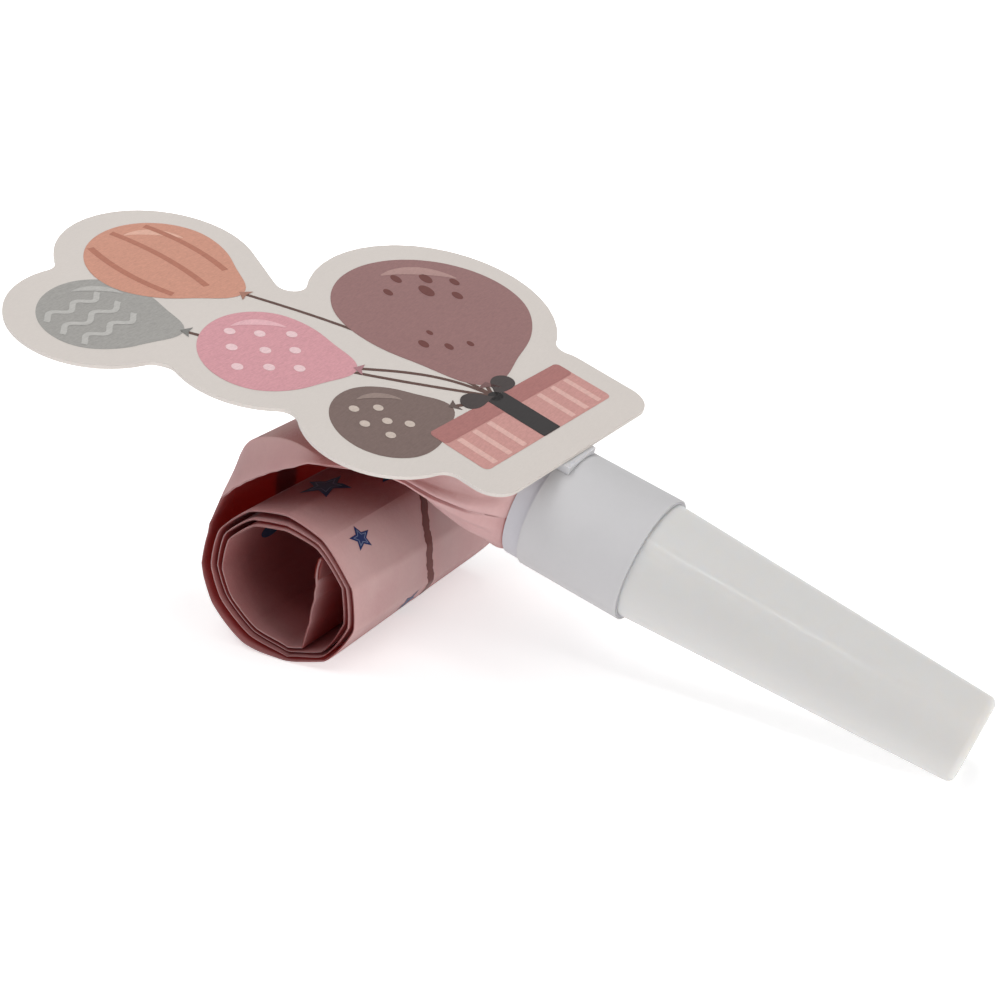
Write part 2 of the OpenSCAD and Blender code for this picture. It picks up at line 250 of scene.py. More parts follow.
@dataclass(frozen=True)
class PaperFinish:
    """Thin dyed paper: mottled dye, fibres, fine wrinkles, light that glows through it, painted shade
    where other layers are near, and lighter folds with a painted highlight along the folded corner's
    fold line.
    """

    name: str
    colour: Rgb
    deep: Rgb
    glow: Rgb
    # Tint of the painted shade: where other layers are near, in the roll's recesses and gaps, the
    # colour is multiplied by it
    painted_shade_tint: Rgb = (160, 37, 33)
    glow_share: float = 0.28
    # Lighter colour mixed in along the roll's folds, and the colour of the painted highlight along
    # the fold line of the loose loop's corner
    fold_tone_and_highlight: Rgb = (226, 196, 192)
    # Heights of the wrinkles and the fibres, and the distance within which other layers paint shade
    # on the paper, in metres
    wrinkle: float = 0.00012
    fibre: float = 0.00002
    nook: float = 0.022
    roughness: float = 0.62

    def make(self) -> Material:
        """Builds the material.

        Returns:
            The paper's material.
        """
        t = NodeTree(self.name)
        place = t.add("ShaderNodeAttribute", attribute_name="strip_place").outputs[1]
        cloud = t.noise(0.085, 3.0, place, 0.55)
        fibre = t.noise(1.9, 6.0, place, 0.7)
        tone = t.mix(t.ramp(cloud, 0.32, 0.72), linear(self.deep), linear(self.colour))
        tone = t.tint(tone, t.maths("MULTIPLY_ADD", fibre, 0.16, 0.92))
        # Lighter along the roll's folds, and a painted highlight along the fold line of the loose
        # loop's corner
        crease = t.add("ShaderNodeAttribute", attribute_name="crease").outputs[2]
        tone = t.mix(t.maths("MULTIPLY", crease, 0.30), tone, linear(self.fold_tone_and_highlight))
        # Painted shade: an ambient occlusion mask darkens the colour towards the shade tint where
        # other layers are near, more strongly on the sheet that faces into the roll
        nook = t.add("ShaderNodeAmbientOcclusion", samples=12, Distance=self.nook).outputs["AO"]
        side = t.add("ShaderNodeSeparateXYZ", Vector=place).outputs["Z"]
        fully_open = t.maths("MULTIPLY_ADD", side, -0.0060, 0.575)
        open_share = t.add("ShaderNodeMapRange", Value=nook, From_Min=0.05, From_Max=fully_open)
        lit_share = t.maths("POWER", open_share.outputs[0], 1.4)
        tone = t.mix(lit_share, t.mix(1.0, tone, linear(self.painted_shade_tint), "MULTIPLY"), tone)
        long_wave = t.noise(0.75, 5.0, t.stretched((0.22, 0.8, 1.0), place), 0.62)
        normal = t.bump(fibre, 0.35, self.fibre, t.bump(long_wave, 0.55, self.wrinkle))
        skin = t.add("ShaderNodeBsdfPrincipled", Base_Color=tone, Normal=normal,
                     Roughness=self.roughness, Specular_IOR_Level=0.15, Sheen_Weight=0.10,
                     Sheen_Roughness=0.4)
        back = t.add("ShaderNodeBsdfTranslucent", Color=linear(self.glow))
        both = t.add("ShaderNodeMixShader")
        for i, value in enumerate((self.glow_share, skin.outputs[0], back.outputs[0])):
            t.put(both, i, value)
        return t.finish(both.outputs[0])


@dataclass(frozen=True)
class CardFinish:
    """Printed card: one ink or the bare white, with the fine ribs and flecks of the card under it."""

    name: str
    colour: Rgb
    fleck: float = 0.07
    roughness: float = 0.5
    # How much the roughness varies, and the height of the grain in metres
    rough_range: float = 0.18
    grain: float = 0.00002

    def make(self) -> Material:
        """Builds the material.

        Returns:
            The card's or ink's material.
        """
        t = NodeTree(self.name)
        place = t.add("ShaderNodeTexCoord").outputs["Object"]
        ribs = t.noise(1.0, 2.0, t.stretched((5200.0, 900.0, 900.0), place), 0.6)
        fine = t.noise(2600.0, 3.0, place, 0.75)
        broad = t.noise(55.0, 2.0, place, 0.5)
        grain = t.maths("ADD", t.maths("MULTIPLY", ribs, 0.5), t.maths("MULTIPLY", fine, 0.5))
        speck = t.maths("MULTIPLY_ADD", grain, 2.0 * self.fleck, 1.0 - self.fleck)
        speck = t.maths("MULTIPLY", speck, t.maths("MULTIPLY_ADD", broad, 0.05, 0.975))
        low = self.roughness - self.rough_range / 2
        skin = t.add("ShaderNodeBsdfPrincipled", Base_Color=t.tint(linear(self.colour), speck),
                     Roughness=t.maths("MULTIPLY_ADD", fine, self.rough_range, low),
                     Normal=t.bump(grain, 0.35, self.grain), Specular_IOR_Level=0.2)
        return t.finish(skin.outputs[0])


@dataclass(frozen=True)
class PlasticFinish:
    """Moulded plastic: light scatters inside it and its skin has faint waves and hairlines."""

    name: str
    colour: Rgb
    depth: float = 0.0015
    share: float = 0.6
    roughness: float = 0.2
    coat: float = 0.35
    gloss: float = 0.5
    # How much the hairlines roughen it, and the heights of hairlines and waves in metres
    hair_rough: float = 0.10
    hair: float = 0.000004
    wave: float = 0.0001

    def make(self) -> Material:
        """Builds the material.

        Returns:
            The plastic's material.
        """
        t = NodeTree(self.name)
        place = t.add("ShaderNodeTexCoord").outputs["Object"]
        wave = t.noise(60.0, 2.0, place)
        cloud = t.noise(140.0, 4.0, place, 0.6)
        hair = t.noise(1.0, 3.0, t.stretched((140.0, 2600.0, 2600.0), place), 0.7)
        tone = t.tint(linear(self.colour), t.maths("MULTIPLY_ADD", cloud, 0.03, 0.985))
        lines = t.ramp(hair, 0.6, 0.85)
        skin = t.add("ShaderNodeBsdfPrincipled", Base_Color=tone,
                     Roughness=t.maths("MULTIPLY_ADD", lines, self.hair_rough, self.roughness),
                     Normal=t.bump(hair, 0.05, self.hair, t.bump(wave, 0.2, self.wave)),
                     Subsurface_Weight=self.share, Subsurface_Radius=(1.0, 0.85, 0.7),
                     Subsurface_Scale=self.depth, Coat_Weight=self.coat, Coat_Roughness=0.14,
                     Specular_IOR_Level=self.gloss)
        return t.finish(skin.outputs[0])


@dataclass(frozen=True)
class WoundPaperFinish:
    """White paper wound into a tube: cool, matt, with faint fibres and a slight waviness."""

    name: str
    colour: Rgb
    roughness: float = 0.55
    # Heights of the fibres and the waves, and how deep light goes in, in metres
    fibre: float = 0.00002
    wave: float = 0.00035
    depth: float = 0.0006

    def make(self) -> Material:
        """Builds the material.

        Returns:
            The paper tube's material.
        """
        t = NodeTree(self.name)
        place = t.add("ShaderNodeTexCoord").outputs["Object"]
        wave = t.noise(70.0, 2.0, place, 0.5)
        fibre = t.noise(1400.0, 5.0, place, 0.7)
        cloud = t.noise(160.0, 3.0, place, 0.6)
        speck = t.maths("ADD", t.maths("MULTIPLY_ADD", fibre, 0.04, 0.95),
                        t.maths("MULTIPLY", cloud, 0.04))
        skin = t.add("ShaderNodeBsdfPrincipled", Base_Color=t.tint(linear(self.colour), speck),
                     Normal=t.bump(fibre, 0.25, self.fibre, t.bump(wave, 0.35, self.wave)),
                     Roughness=self.roughness, Subsurface_Weight=0.15,
                     Subsurface_Radius=(1.0, 1.0, 1.0), Subsurface_Scale=self.depth,
                     Specular_IOR_Level=0.4)
        return t.finish(skin.outputs[0])


@dataclass(frozen=True)
class RollSizes:
    """Sizes of the paper tube, the same as in the CAD source."""

    collar_end: float = 65.2
    neck: float = 23.0
    neck_root: float = 7.0
    bends: int = 18
    loose: int = 2
    ease: int = 2
    bend: float = 15.72
    flap: float = 16.4
    loose_r: float = 17.57
    outer_r: float = 12.45
    inner_r: float = 9.77
    crease: float = 59.9
    half_width: float = 19.6
    half_thick: float = 0.2
    recoil_root: float = 5.0
    recoil_half: float = 2.5
    tab: float = 4.5

    @property
    def flap_start(self) -> float:
        """Length along the strip at which the straight flap begins."""
        return (self.bends - 1) * self.bend

    @property
    def end(self) -> float:
        """Length along the strip at its tip."""
        return self.flap_start + self.flap

    def middle(self, i: int) -> float:
        """Length along the strip at the middle of a bend, numbered from 1."""
        return (i - 0.5) * self.bend if i < self.bends else self.flap_start + self.flap / 2

    def curve(self, i: int) -> float:
        """Curvature of a bend.

        Args:
            i: The bend's number, from 1.

        Returns:
            One over the bend's radius.
        """
        if i >= self.bends:
            return 0.0
        if i <= self.loose:
            return 1.0 / self.loose_r
        if i <= self.loose + self.ease:
            share = (i - self.loose) / (self.ease + 1)
            return (1.0 - share) / self.loose_r + share / self.outer_r
        first = self.loose + self.ease + 1
        gain = (self.inner_r - self.outer_r) * (i - first) / (self.bends - 1 - first)
        return 1.0 / (self.outer_r + gain)


@dataclass(frozen=True)
class TubeFrame:
    """The tube's own frame: X is its axis, out of the mouth, from the mouth end's centre."""

    origin: Array
    along: Array
    up: Array

    @classmethod
    def of_record(cls, record: dict, behind: float) -> "TubeFrame":
        """Takes the frame from the mouth's mount.

        Args:
            record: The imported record.
            behind: How far the mount's middle is behind the mouth end.

        Returns:
            The tube's frame.
        """
        mount = next(m for m in record["mounts"] if m["name"] == "mouth_bore")
        along = np.array(mount["axis"], float)
        along = along / np.linalg.norm(along)
        up = np.array([-along[2], 0.0, along[0]])
        return cls(np.array(mount["pos_m"], float) / MM + along * behind, along, up)

    def place(self, x: Array, y: Array, z: Array) -> Array:
        """Places points of the tube's frame.

        Args:
            x: Distances along the tube, out of the mouth.
            y: Distances across.
            z: Distances up from the axis.

        Returns:
            The points in the row frame.
        """
        x, y, z = np.broadcast_arrays(x, y, z)
        points = self.origin + x[..., None] * self.along + z[..., None] * self.up
        points[..., 1] += y
        return points


@dataclass
class RollLine:
    """The middle line of the rolled strip in the tube frame, by the length from the first bend."""

    sizes: RollSizes
    starts: Array = field(init=False)
    headings: Array = field(init=False)
    curves: Array = field(init=False)
    # Length over which the crease before the flap turns
    crease_long: float = 1.2

    def __post_init__(self) -> None:
        """Walks along the bends, one after another."""
        s = self.sizes
        point, heading = np.array([-(s.collar_end + s.neck), 0.0]), math.pi
        starts, headings, curves = [], [], []
        for i in range(1, s.bends + 1):
            k = s.curve(i)
            heading += math.radians(s.crease) if i == s.bends else 0.0
            starts.append(point.copy())
            headings.append(heading)
            curves.append(k)
            after = heading + k * s.bend
            if k:
                point = point + np.array([math.sin(after) - math.sin(heading),
                                          math.cos(heading) - math.cos(after)]) / k
            heading = after
        self.starts, self.headings, self.curves = map(np.array, (starts, headings, curves))

    def at(self, length: Array) -> tuple[Array, Array, Array]:
        """Finds the middle line at some lengths.

        Args:
            length: Lengths from the first bend's start; the neck's are below 0.

        Returns:
            The places along and above the tube's axis, and the heading that the outside is square to.
        """
        s = self.sizes
        i = np.clip(np.floor(length / s.bend).astype(int), 0, s.bends - 1)
        t = np.where(length < 0, length, length - i * s.bend)
        h, k = self.headings[i], np.where(length < 0, 0.0, self.curves[i])
        heading, safe = h + k * t, np.where(k == 0, 1.0, k)
        x = np.where(k == 0, t * np.cos(h), (np.sin(heading) - np.sin(h)) / safe)
        z = np.where(k == 0, t * np.sin(h), (np.cos(h) - np.cos(heading)) / safe)
        near = (length - s.flap_start) / self.crease_long
        turning = self.headings[-1] - math.radians(s.crease) * (0.5 - near)
        heading = np.where(np.abs(near) < 0.5, turning, heading)
        return self.starts[i, 0] + x, self.starts[i, 1] + z, heading


@dataclass(frozen=True)
class Wave:
    """A soft wave of the paper: height, length for one radian, lean across and start."""

    high: float
    long: float
    lean: float = 0.0
    start: float = 0.0

    def at(self, length: Array, wide: Array | float = 0.0) -> Array:
        """Finds the wave's heights at lengths and shares of the half-width."""
        return self.high * np.sin(length / self.long + self.lean * wide + self.start)


@dataclass
class RollShape:
    """Where the paper really is: the CAD's middle line, gathered at the neck, dented and creased."""

    sizes: RollSizes
    tube: TubeFrame
    line: RollLine = field(init=False)
    middle: Pair = field(init=False)
    # Steps across one sheet, the tube's thickness at its edges, and where its side grooves are
    sides: int = 72
    edge: float = 0.35
    groove: float = 0.985
    # Middle of the tight roll from the mouth end
    centre: Pair = (-92.1, 6.95)
    # The folds that the roll got in its packet: angle and sharpness, and their lean across
    folds: tuple[Pair, ...] = (
        (-158.0, 0.5), (-128.0, 0.35), (-95.0, 0.9), (-60.0, 0.45), (-22.0, 0.55), (8.0, 0.7),
        (47.0, 0.3), (82.0, 0.25), (118.0, 0.35), (151.0, 0.6), (179.0, 0.8))
    fold_lean: float = 0.16
    # Depth of the flats between them, and the radius where they fade, over what and by how much
    dent: float = 13.8
    dent_fade: Triple = (13.8, 4.0, 0.92)
    # How the round roll is pressed out of shape: all round, sideways, down and to an oval, and
    # the radius and distance over which that fades
    press: Quad = (-0.125, -1.05, -1.3, 0.975)
    press_fade: Pair = (11.5, 5.5)
    # The inner turns sag: angle, depth, radius from which they do, and reach
    sag: Quad = (78.0, 1.35, 12.2, 2.6)
    # Radius of the roll's core, in which every change fades towards the middle
    core: float = 9.0
    # The table that the roll rests on: how far the paper stays off it, and how softly it lies there
    floor_gap: float = 0.12
    floor_ease: float = 0.7
    # The folded corner of the loose loop: lengths, the drop at the edge, where the fold line runs
    dart_at: tuple[float, ...] = (
        0.0, 2.5, 5.0, 8.4, 11.5, 14.5, 17.6, 20.7, 23.0, 26.5, 30.8, 34.5, 38.0)
    dart_drop: tuple[float, ...] = (
        0.0, 0.65, 2.25, 3.6, 4.24, 4.44, 4.24, 3.58, 2.76, 2.3, 1.99, 1.0, 0.0)
    fold_at: tuple[float, ...] = (0.0, 1.0, 14.0, 19.0, 24.0, 38.0)
    fold_line: tuple[float, ...] = (-19.3, -18.3, -15.8, -13.9, -12.7, -12.0)
    # Half the width of its crease, and the columns that follow it and the one that stays
    fold_half: float = 0.14
    fold_columns: tuple[int, int, int, int] = (18, 19, 20, 34)
    # Where they move on to the line and off it again, and the drop at which the painted highlight
    # along the fold line is full
    fold_on: Pair = (0.0, 1.5)
    fold_off: Pair = (34.0, 6.0)
    fold_highlight_full: float = 1.5
    # Least width of the folded corner, and how far past the edge its slope may run
    fold_least: float = 0.5
    fold_most: float = 1.05
    # Rise of the loose loop's top: height, middle and reach
    bulge: Triple = (1.4, 16.0, 15.0)
    # Waves of the loose loop's start, with their middle and reach, and of the roll, with their start
    ripple: Wave = Wave(0.07, 2.1, 2.0)
    ripple_at: Pair = (4.0, 9.0)
    loose: Wave = Wave(0.10, 6.7, 1.3)
    loose_from: Pair = (30.0, 20.0)
    # Sideways slips of the turns, the last turn's own and its length, and where they start
    slips: tuple[Wave, ...] = (Wave(0.30, 14.0, start=0.6), Wave(0.22, 5.3, start=2.0))
    slip: Pair = (0.5, 260.0)
    slip_from: Pair = (20.0, 30.0)
    # Where the roll starts to be pressed
    settle_from: Pair = (-6.0, 16.0)
    # The neck: distance from the collar, half-width and half-thickness
    neck_at: tuple[float, ...] = (-8.0, -0.4, 1.2, 4.5, 9.0, 14.0, 18.0, 20.8, 23.0, 25.5)
    neck_wide: tuple[float, ...] = (7.95, 8.05, 9.6, 11.4, 12.3, 12.7, 14.1, 17.2, 19.3, 19.6)
    neck_thick: tuple[float, ...] = (7.95, 8.05, 7.7, 6.5, 5.0, 3.3, 1.9, 0.8, 0.2, 0.0)
    # Gathers round the neck: angle, depth and half-breadth in radians
    gathers: tuple[Triple, ...] = (
        (-2.75, 0.55, 0.20), (-2.2, 0.8, 0.26), (-1.7, 0.6, 0.2), (-1.15, 0.9, 0.3),
        (-0.62, 0.7, 0.22), (-0.22, 0.8, 0.2), (0.16, 0.9, 0.19), (0.52, 0.75, 0.2),
        (0.88, 1.0, 0.24), (1.35, 0.7, 0.22), (1.8, 0.9, 0.26), (2.3, 0.6, 0.2), (2.8, 0.8, 0.24))
    # Their share of the depth, the valley's share beside a ridge and how far off it is, their lean
    gather: Quad = (0.85, 0.4, 1.6, 0.012)
    # Where they rise from the collar and where they fade
    gather_rise: Pair = (-0.2, 2.4)
    gather_fall: Pair = (5.0, 17.0)
    # Half-thickness at which they are full sideways and outwards, and their share at the edges
    gather_side: float = 6.0
    gather_out: float = 1.5
    gather_rim: float = 0.25

    def __post_init__(self) -> None:
        """Lays out the middle line and finds the roll's middle."""
        self.line = RollLine(self.sizes)
        x, z = self.centre
        self.middle = (self.tube.origin[0] + x, self.tube.origin[2] + z)

    def across(self) -> tuple[Array, Array, Array]:
        """Lays out one closed section: the outer sheet from near to far, then the inner one back.

        Returns:
            Shares of the half-width, sides (1 outside, -1 inside) and shares of the half-thickness.
        """
        v = self.columns(np.arange(self.sides + 1))
        thick = self.edge + (1.0 - self.edge) * np.sqrt(np.clip(1.0 - v ** 10, 0.0, 1.0))
        sheet = np.ones(len(v))
        wide = np.concatenate([v, [self.groove], v[::-1], [-self.groove]])
        side = np.concatenate([sheet, [0.0], -sheet, [0.0]])
        return wide, side, np.concatenate([thick, [0.0], thick, [0.0]])

    def columns(self, number: Array) -> Array:
        """Finds the shares of the half-width at which columns run, closer at the edges."""
        return -np.cos(np.pi * number / self.sides)

    def follow_fold(self, rows: Array, wide: Array) -> Array:
        """Moves three columns on to the fold line of the loose loop's corner, so that it is sharp.

        Args:
            rows: Lengths of the rows.
            wide: Shares of the half-width, one for each column.

        Returns:
            The shares of the half-width for each row and column.
        """
        own = self.columns(np.array([0, *self.fold_columns, self.sides]))
        line = np.interp(rows, self.fold_at, self.fold_line) - self.drift(rows)
        near = self.fold_half / self.sizes.half_width
        moved = np.stack([np.interp(wide, own, [own[0], t - near, t, t + near, own[4], own[5]])
                          for t in line / self.sizes.half_width])
        pull = rise(rows, *self.fold_on) * (1.0 - rise(rows, *self.fold_off))
        return wide + pull[:, None] * (moved - wide)

    def fold_highlight_mask(self, rows: Array, across: Array) -> Array:
        """How near a place is to the fold line of the loose loop's corner: the mask of the painted
        highlight along that line.

        Args:
            rows: Lengths along the strip.
            across: Distances across it.

        Returns:
            One on the line, zero off it and where nothing is folded.
        """
        off = np.abs(across - np.interp(rows, self.fold_at, self.fold_line))
        folded = smooth(np.interp(rows, self.dart_at, self.dart_drop) / self.fold_highlight_full)
        return np.clip(1.0 - off / (2.0 * self.fold_half), 0.0, 1.0) * folded

    def drift(self, length: Array) -> Array:
        """How far the turns have slipped sideways.

        Args:
            length: Lengths along the strip.

        Returns:
            The slips, which fade out towards the neck.
        """
        far, long = self.slip
        wave = sum(w.at(length) for w in self.slips) + far * rise(length, 0.0, long)
        return wave * rise(length, *self.slip_from)

    def neck_crumple(self, length: Array, wide: Array, side: Array) -> Array:
        """Height of the gathers that run out from the collar.

        Args:
            length: Lengths along the strip.
            wide: Shares of the half-width.
            side: Outer or inner sheet.

        Returns:
            The gathers' heights.
        """
        turn = np.arccos(np.clip(-wide, -1.0, 1.0)) * np.where(side < 0, -1.0, 1.0)
        away = length + self.sizes.neck
        share, valley, beside, lean = self.gather
        out = np.zeros(np.broadcast(length, wide).shape)
        for n, (angle, deep, broad) in enumerate(self.gathers):
            off = turn - (angle + lean * (1 if n % 2 else -1) * away)
            ridge = np.clip(1.0 - np.abs(off) / broad, 0.0, 1.0)
            dip = np.clip(1.0 - np.abs(off - beside * broad) / broad, 0.0, 1.0)
            out = out + (deep * share) * (ridge - valley * dip)
        return out * rise(away, *self.gather_rise) * (1.0 - rise(away, *self.gather_fall))

    def fold_dent(self, angle: Array, y: Array) -> Array:
        """How far in the flats between the roll's folds lie.

        Args:
            angle: Angles round the roll's middle, in degrees.
            y: Distances across.

        Returns:
            Dents as a share of the radius, from 0 at a fold.
        """
        angle = angle + self.fold_lean * y
        marks, sharp = np.array(self.folds).T
        marks = np.concatenate([marks - 360.0, marks, marks + 360.0])
        sharp = np.tile(sharp, 3)
        n = np.clip(np.searchsorted(marks, angle) - 1, 0, len(marks) - 2)
        middle, half = (marks[n] + marks[n + 1]) / 2, (marks[n + 1] - marks[n]) / 2
        off = np.radians(np.clip(np.abs(angle - middle), 0, half))
        along = (angle - marks[n]) / (2.0 * half)
        blunt = sharp[n] * (1.0 - along) + sharp[n + 1] * along
        return (1.0 - np.cos(np.radians(half)) / np.cos(off)) * blunt

    def crease(self, points: Array) -> Array:
        """How near a place is to one of the roll's folds.

        Args:
            points: Points in the row frame.

        Returns:
            One on a fold, zero 2 degrees off it.
        """
        marks, sharp = np.array(self.folds).T
        dx, dz = points[..., 0] - self.middle[0], points[..., 2] - self.middle[1]
        angle = np.degrees(np.arctan2(dz, dx)) + self.fold_lean * points[..., 1]
        off = np.abs((angle[..., None] - marks + 180.0) % 360.0 - 180.0)
        return (np.clip(1.0 - off / 2.0, 0.0, 1.0) * sharp).max(-1)

    def settle(self, points: Array, share: Array) -> Array:
        """Presses the round roll into its flattened, many-sided shape.

        Args:
            points: Points in the row frame.
            share: How much of the change each point gets.

        Returns:
            The moved points.
        """
        dx, dz = points[..., 0] - self.middle[0], points[..., 2] - self.middle[1]
        r, a = np.hypot(dx, dz), np.arctan2(dz, dx)
        core = np.clip(r / self.core, 0.0, 1.0)
        round_in, sideways, down, oval = self.press
        press = round_in + sideways * np.cos(a) + down * np.sin(a) + oval * np.cos(2 * a)
        angle, deep, rim, reach = self.sag
        low = np.clip(np.cos(a + math.radians(angle)), 0.0, 1.0) ** 2
        press = press + deep * low * np.clip((rim - r) / reach, 0.0, 1.0) * core
        rim, reach = self.press_fade
        press = press * core * (1.0 - rise(r, rim, reach))
        rim, reach, lost = self.dent_fade
        flat = self.fold_dent(np.degrees(a), points[..., 1]) * self.dent
        flat = flat * core * (1.0 - lost * rise(r, rim, reach))
        moved = r + share * (press - flat)
        cap = (self.middle[1] - self.floor_gap) / np.maximum(-np.sin(a), 0.3) - self.floor_ease
        over = np.maximum(moved - cap, 0.0)
        moved = moved - over + self.floor_ease * np.tanh(over / self.floor_ease)
        out = points.copy()
        out[..., 0] = self.middle[0] + moved * np.cos(a)
        out[..., 2] = self.middle[1] + moved * np.sin(a)
        return out

    def place(self, length: Array, wide: Array, side: Array, thick: Array,
              puff: float = 1.0) -> Array:
        """Places points of the paper.

        Args:
            length: Lengths from the first bend's start.
            wide: Shares of the half-width.
            side: Outer or inner sheet.
            thick: Shares of the half-thickness.
            puff: How much of the neck's roundness and gathers they get.

        Returns:
            The points in the row frame.
        """
        s = self.sizes
        length, wide, side, thick = np.broadcast_arrays(length, wide, side, thick)
        away = length + s.neck
        half = np.interp(away, self.neck_at, self.neck_wide)
        room = np.interp(away, self.neck_at, self.neck_thick)
        round_share = np.sqrt(np.clip(1.0 - wide ** 2, 0.0, 1.0))
        crumple = self.neck_crumple(length, wide, side) * puff
        y = half * wide + crumple * wide * smooth(room / self.gather_side) + self.drift(length)
        out = side * (puff * room * round_share + s.half_thick * thick)
        lift = crumple * np.where(side < 0, -1.0, 1.0) * smooth(room / self.gather_out)
        out = out + lift * (self.gather_rim + (1.0 - self.gather_rim) * round_share)
        line = np.interp(length, self.fold_at, self.fold_line)
        drop = np.interp(length, self.dart_at, self.dart_drop)
        corner = np.maximum(line + s.half_width, self.fold_least)
        dart = drop * np.clip((line - y) / corner, 0.0, self.fold_most)
        high, middle, reach = self.bulge
        bulge = high * smooth(1.0 - np.abs(length - middle) / reach)
        middle, reach = self.ripple_at
        ripple = self.ripple.at(length, wide) * np.exp(-((length - middle) / reach) ** 2)
        loose = self.loose.at(length, wide) * rise(length, *self.loose_from)
        out = out - dart + bulge + ripple + loose
        x, z, heading = self.line.at(length)
        points = self.tube.place(x + out * np.sin(heading), y, z - out * np.cos(heading))
        return self.settle(points, rise(length, *self.settle_from))


@dataclass
class Mesher:
    """Makes mesh objects from arrays of points."""

    scene: bpy.types.Scene = field(default_factory=lambda: bpy.context.scene)

    def solid(self, name: str, points: Array, faces: list, material: Material,
              soft: bool = True) -> Piece:
        """Makes an object from points and faces.

        Args:
            name: The piece's name.
            points: Points in millimetres.
            faces: Faces by point number.
            material: Its material.
            soft: Whether it is shaded smooth.

        Returns:
            The new object.
        """
        mesh = bpy.data.meshes.new(name)
        mesh.from_pydata((np.asarray(points) * MM).tolist(), [], faces)
        mesh.polygons.foreach_set("use_smooth", [soft] * len(mesh.polygons))
        mesh.materials.append(material)
        mesh.update()
        obj = bpy.data.objects.new(name, mesh)
        self.scene.collection.objects.link(obj)
        return obj

    @staticmethod
    def grid_faces(rows: int, columns: int, closed: bool) -> list[list[int]]:
        """Gives the faces between rows of points.

        Args:
            rows: Number of rows.
            columns: Points in a row.
            closed: Whether each row is a ring.

        Returns:
            The faces by point number.
        """
        n, last = columns, columns if closed else columns - 1
        return [[r * n + c, (r + 1) * n + c, (r + 1) * n + (c + 1) % n, r * n + (c + 1) % n]
                for r in range(rows - 1) for c in range(last)]

    def ring(self, name: str, grid: Array, material: Material, soft: bool = True) -> Piece:
        """Makes a closed skin from rows of points."""
        faces = self.grid_faces(*grid.shape[:2], True)
        return self.solid(name, grid.reshape(-1, 3), faces, material, soft)

    @staticmethod
    def mark(obj: Piece, name: str, kind: str, values: Array) -> None:
        """Stores a value at each point for the material.

        Args:
            obj: The mesh object.
            name: The attribute's name.
            kind: The attribute's type.
            values: The values by point.
        """
        data = obj.data.attributes.new(name, kind, "POINT").data
        key = "vector" if kind == "FLOAT_VECTOR" else "value"
        data.foreach_set(key, np.asarray(values, np.float32).ravel())


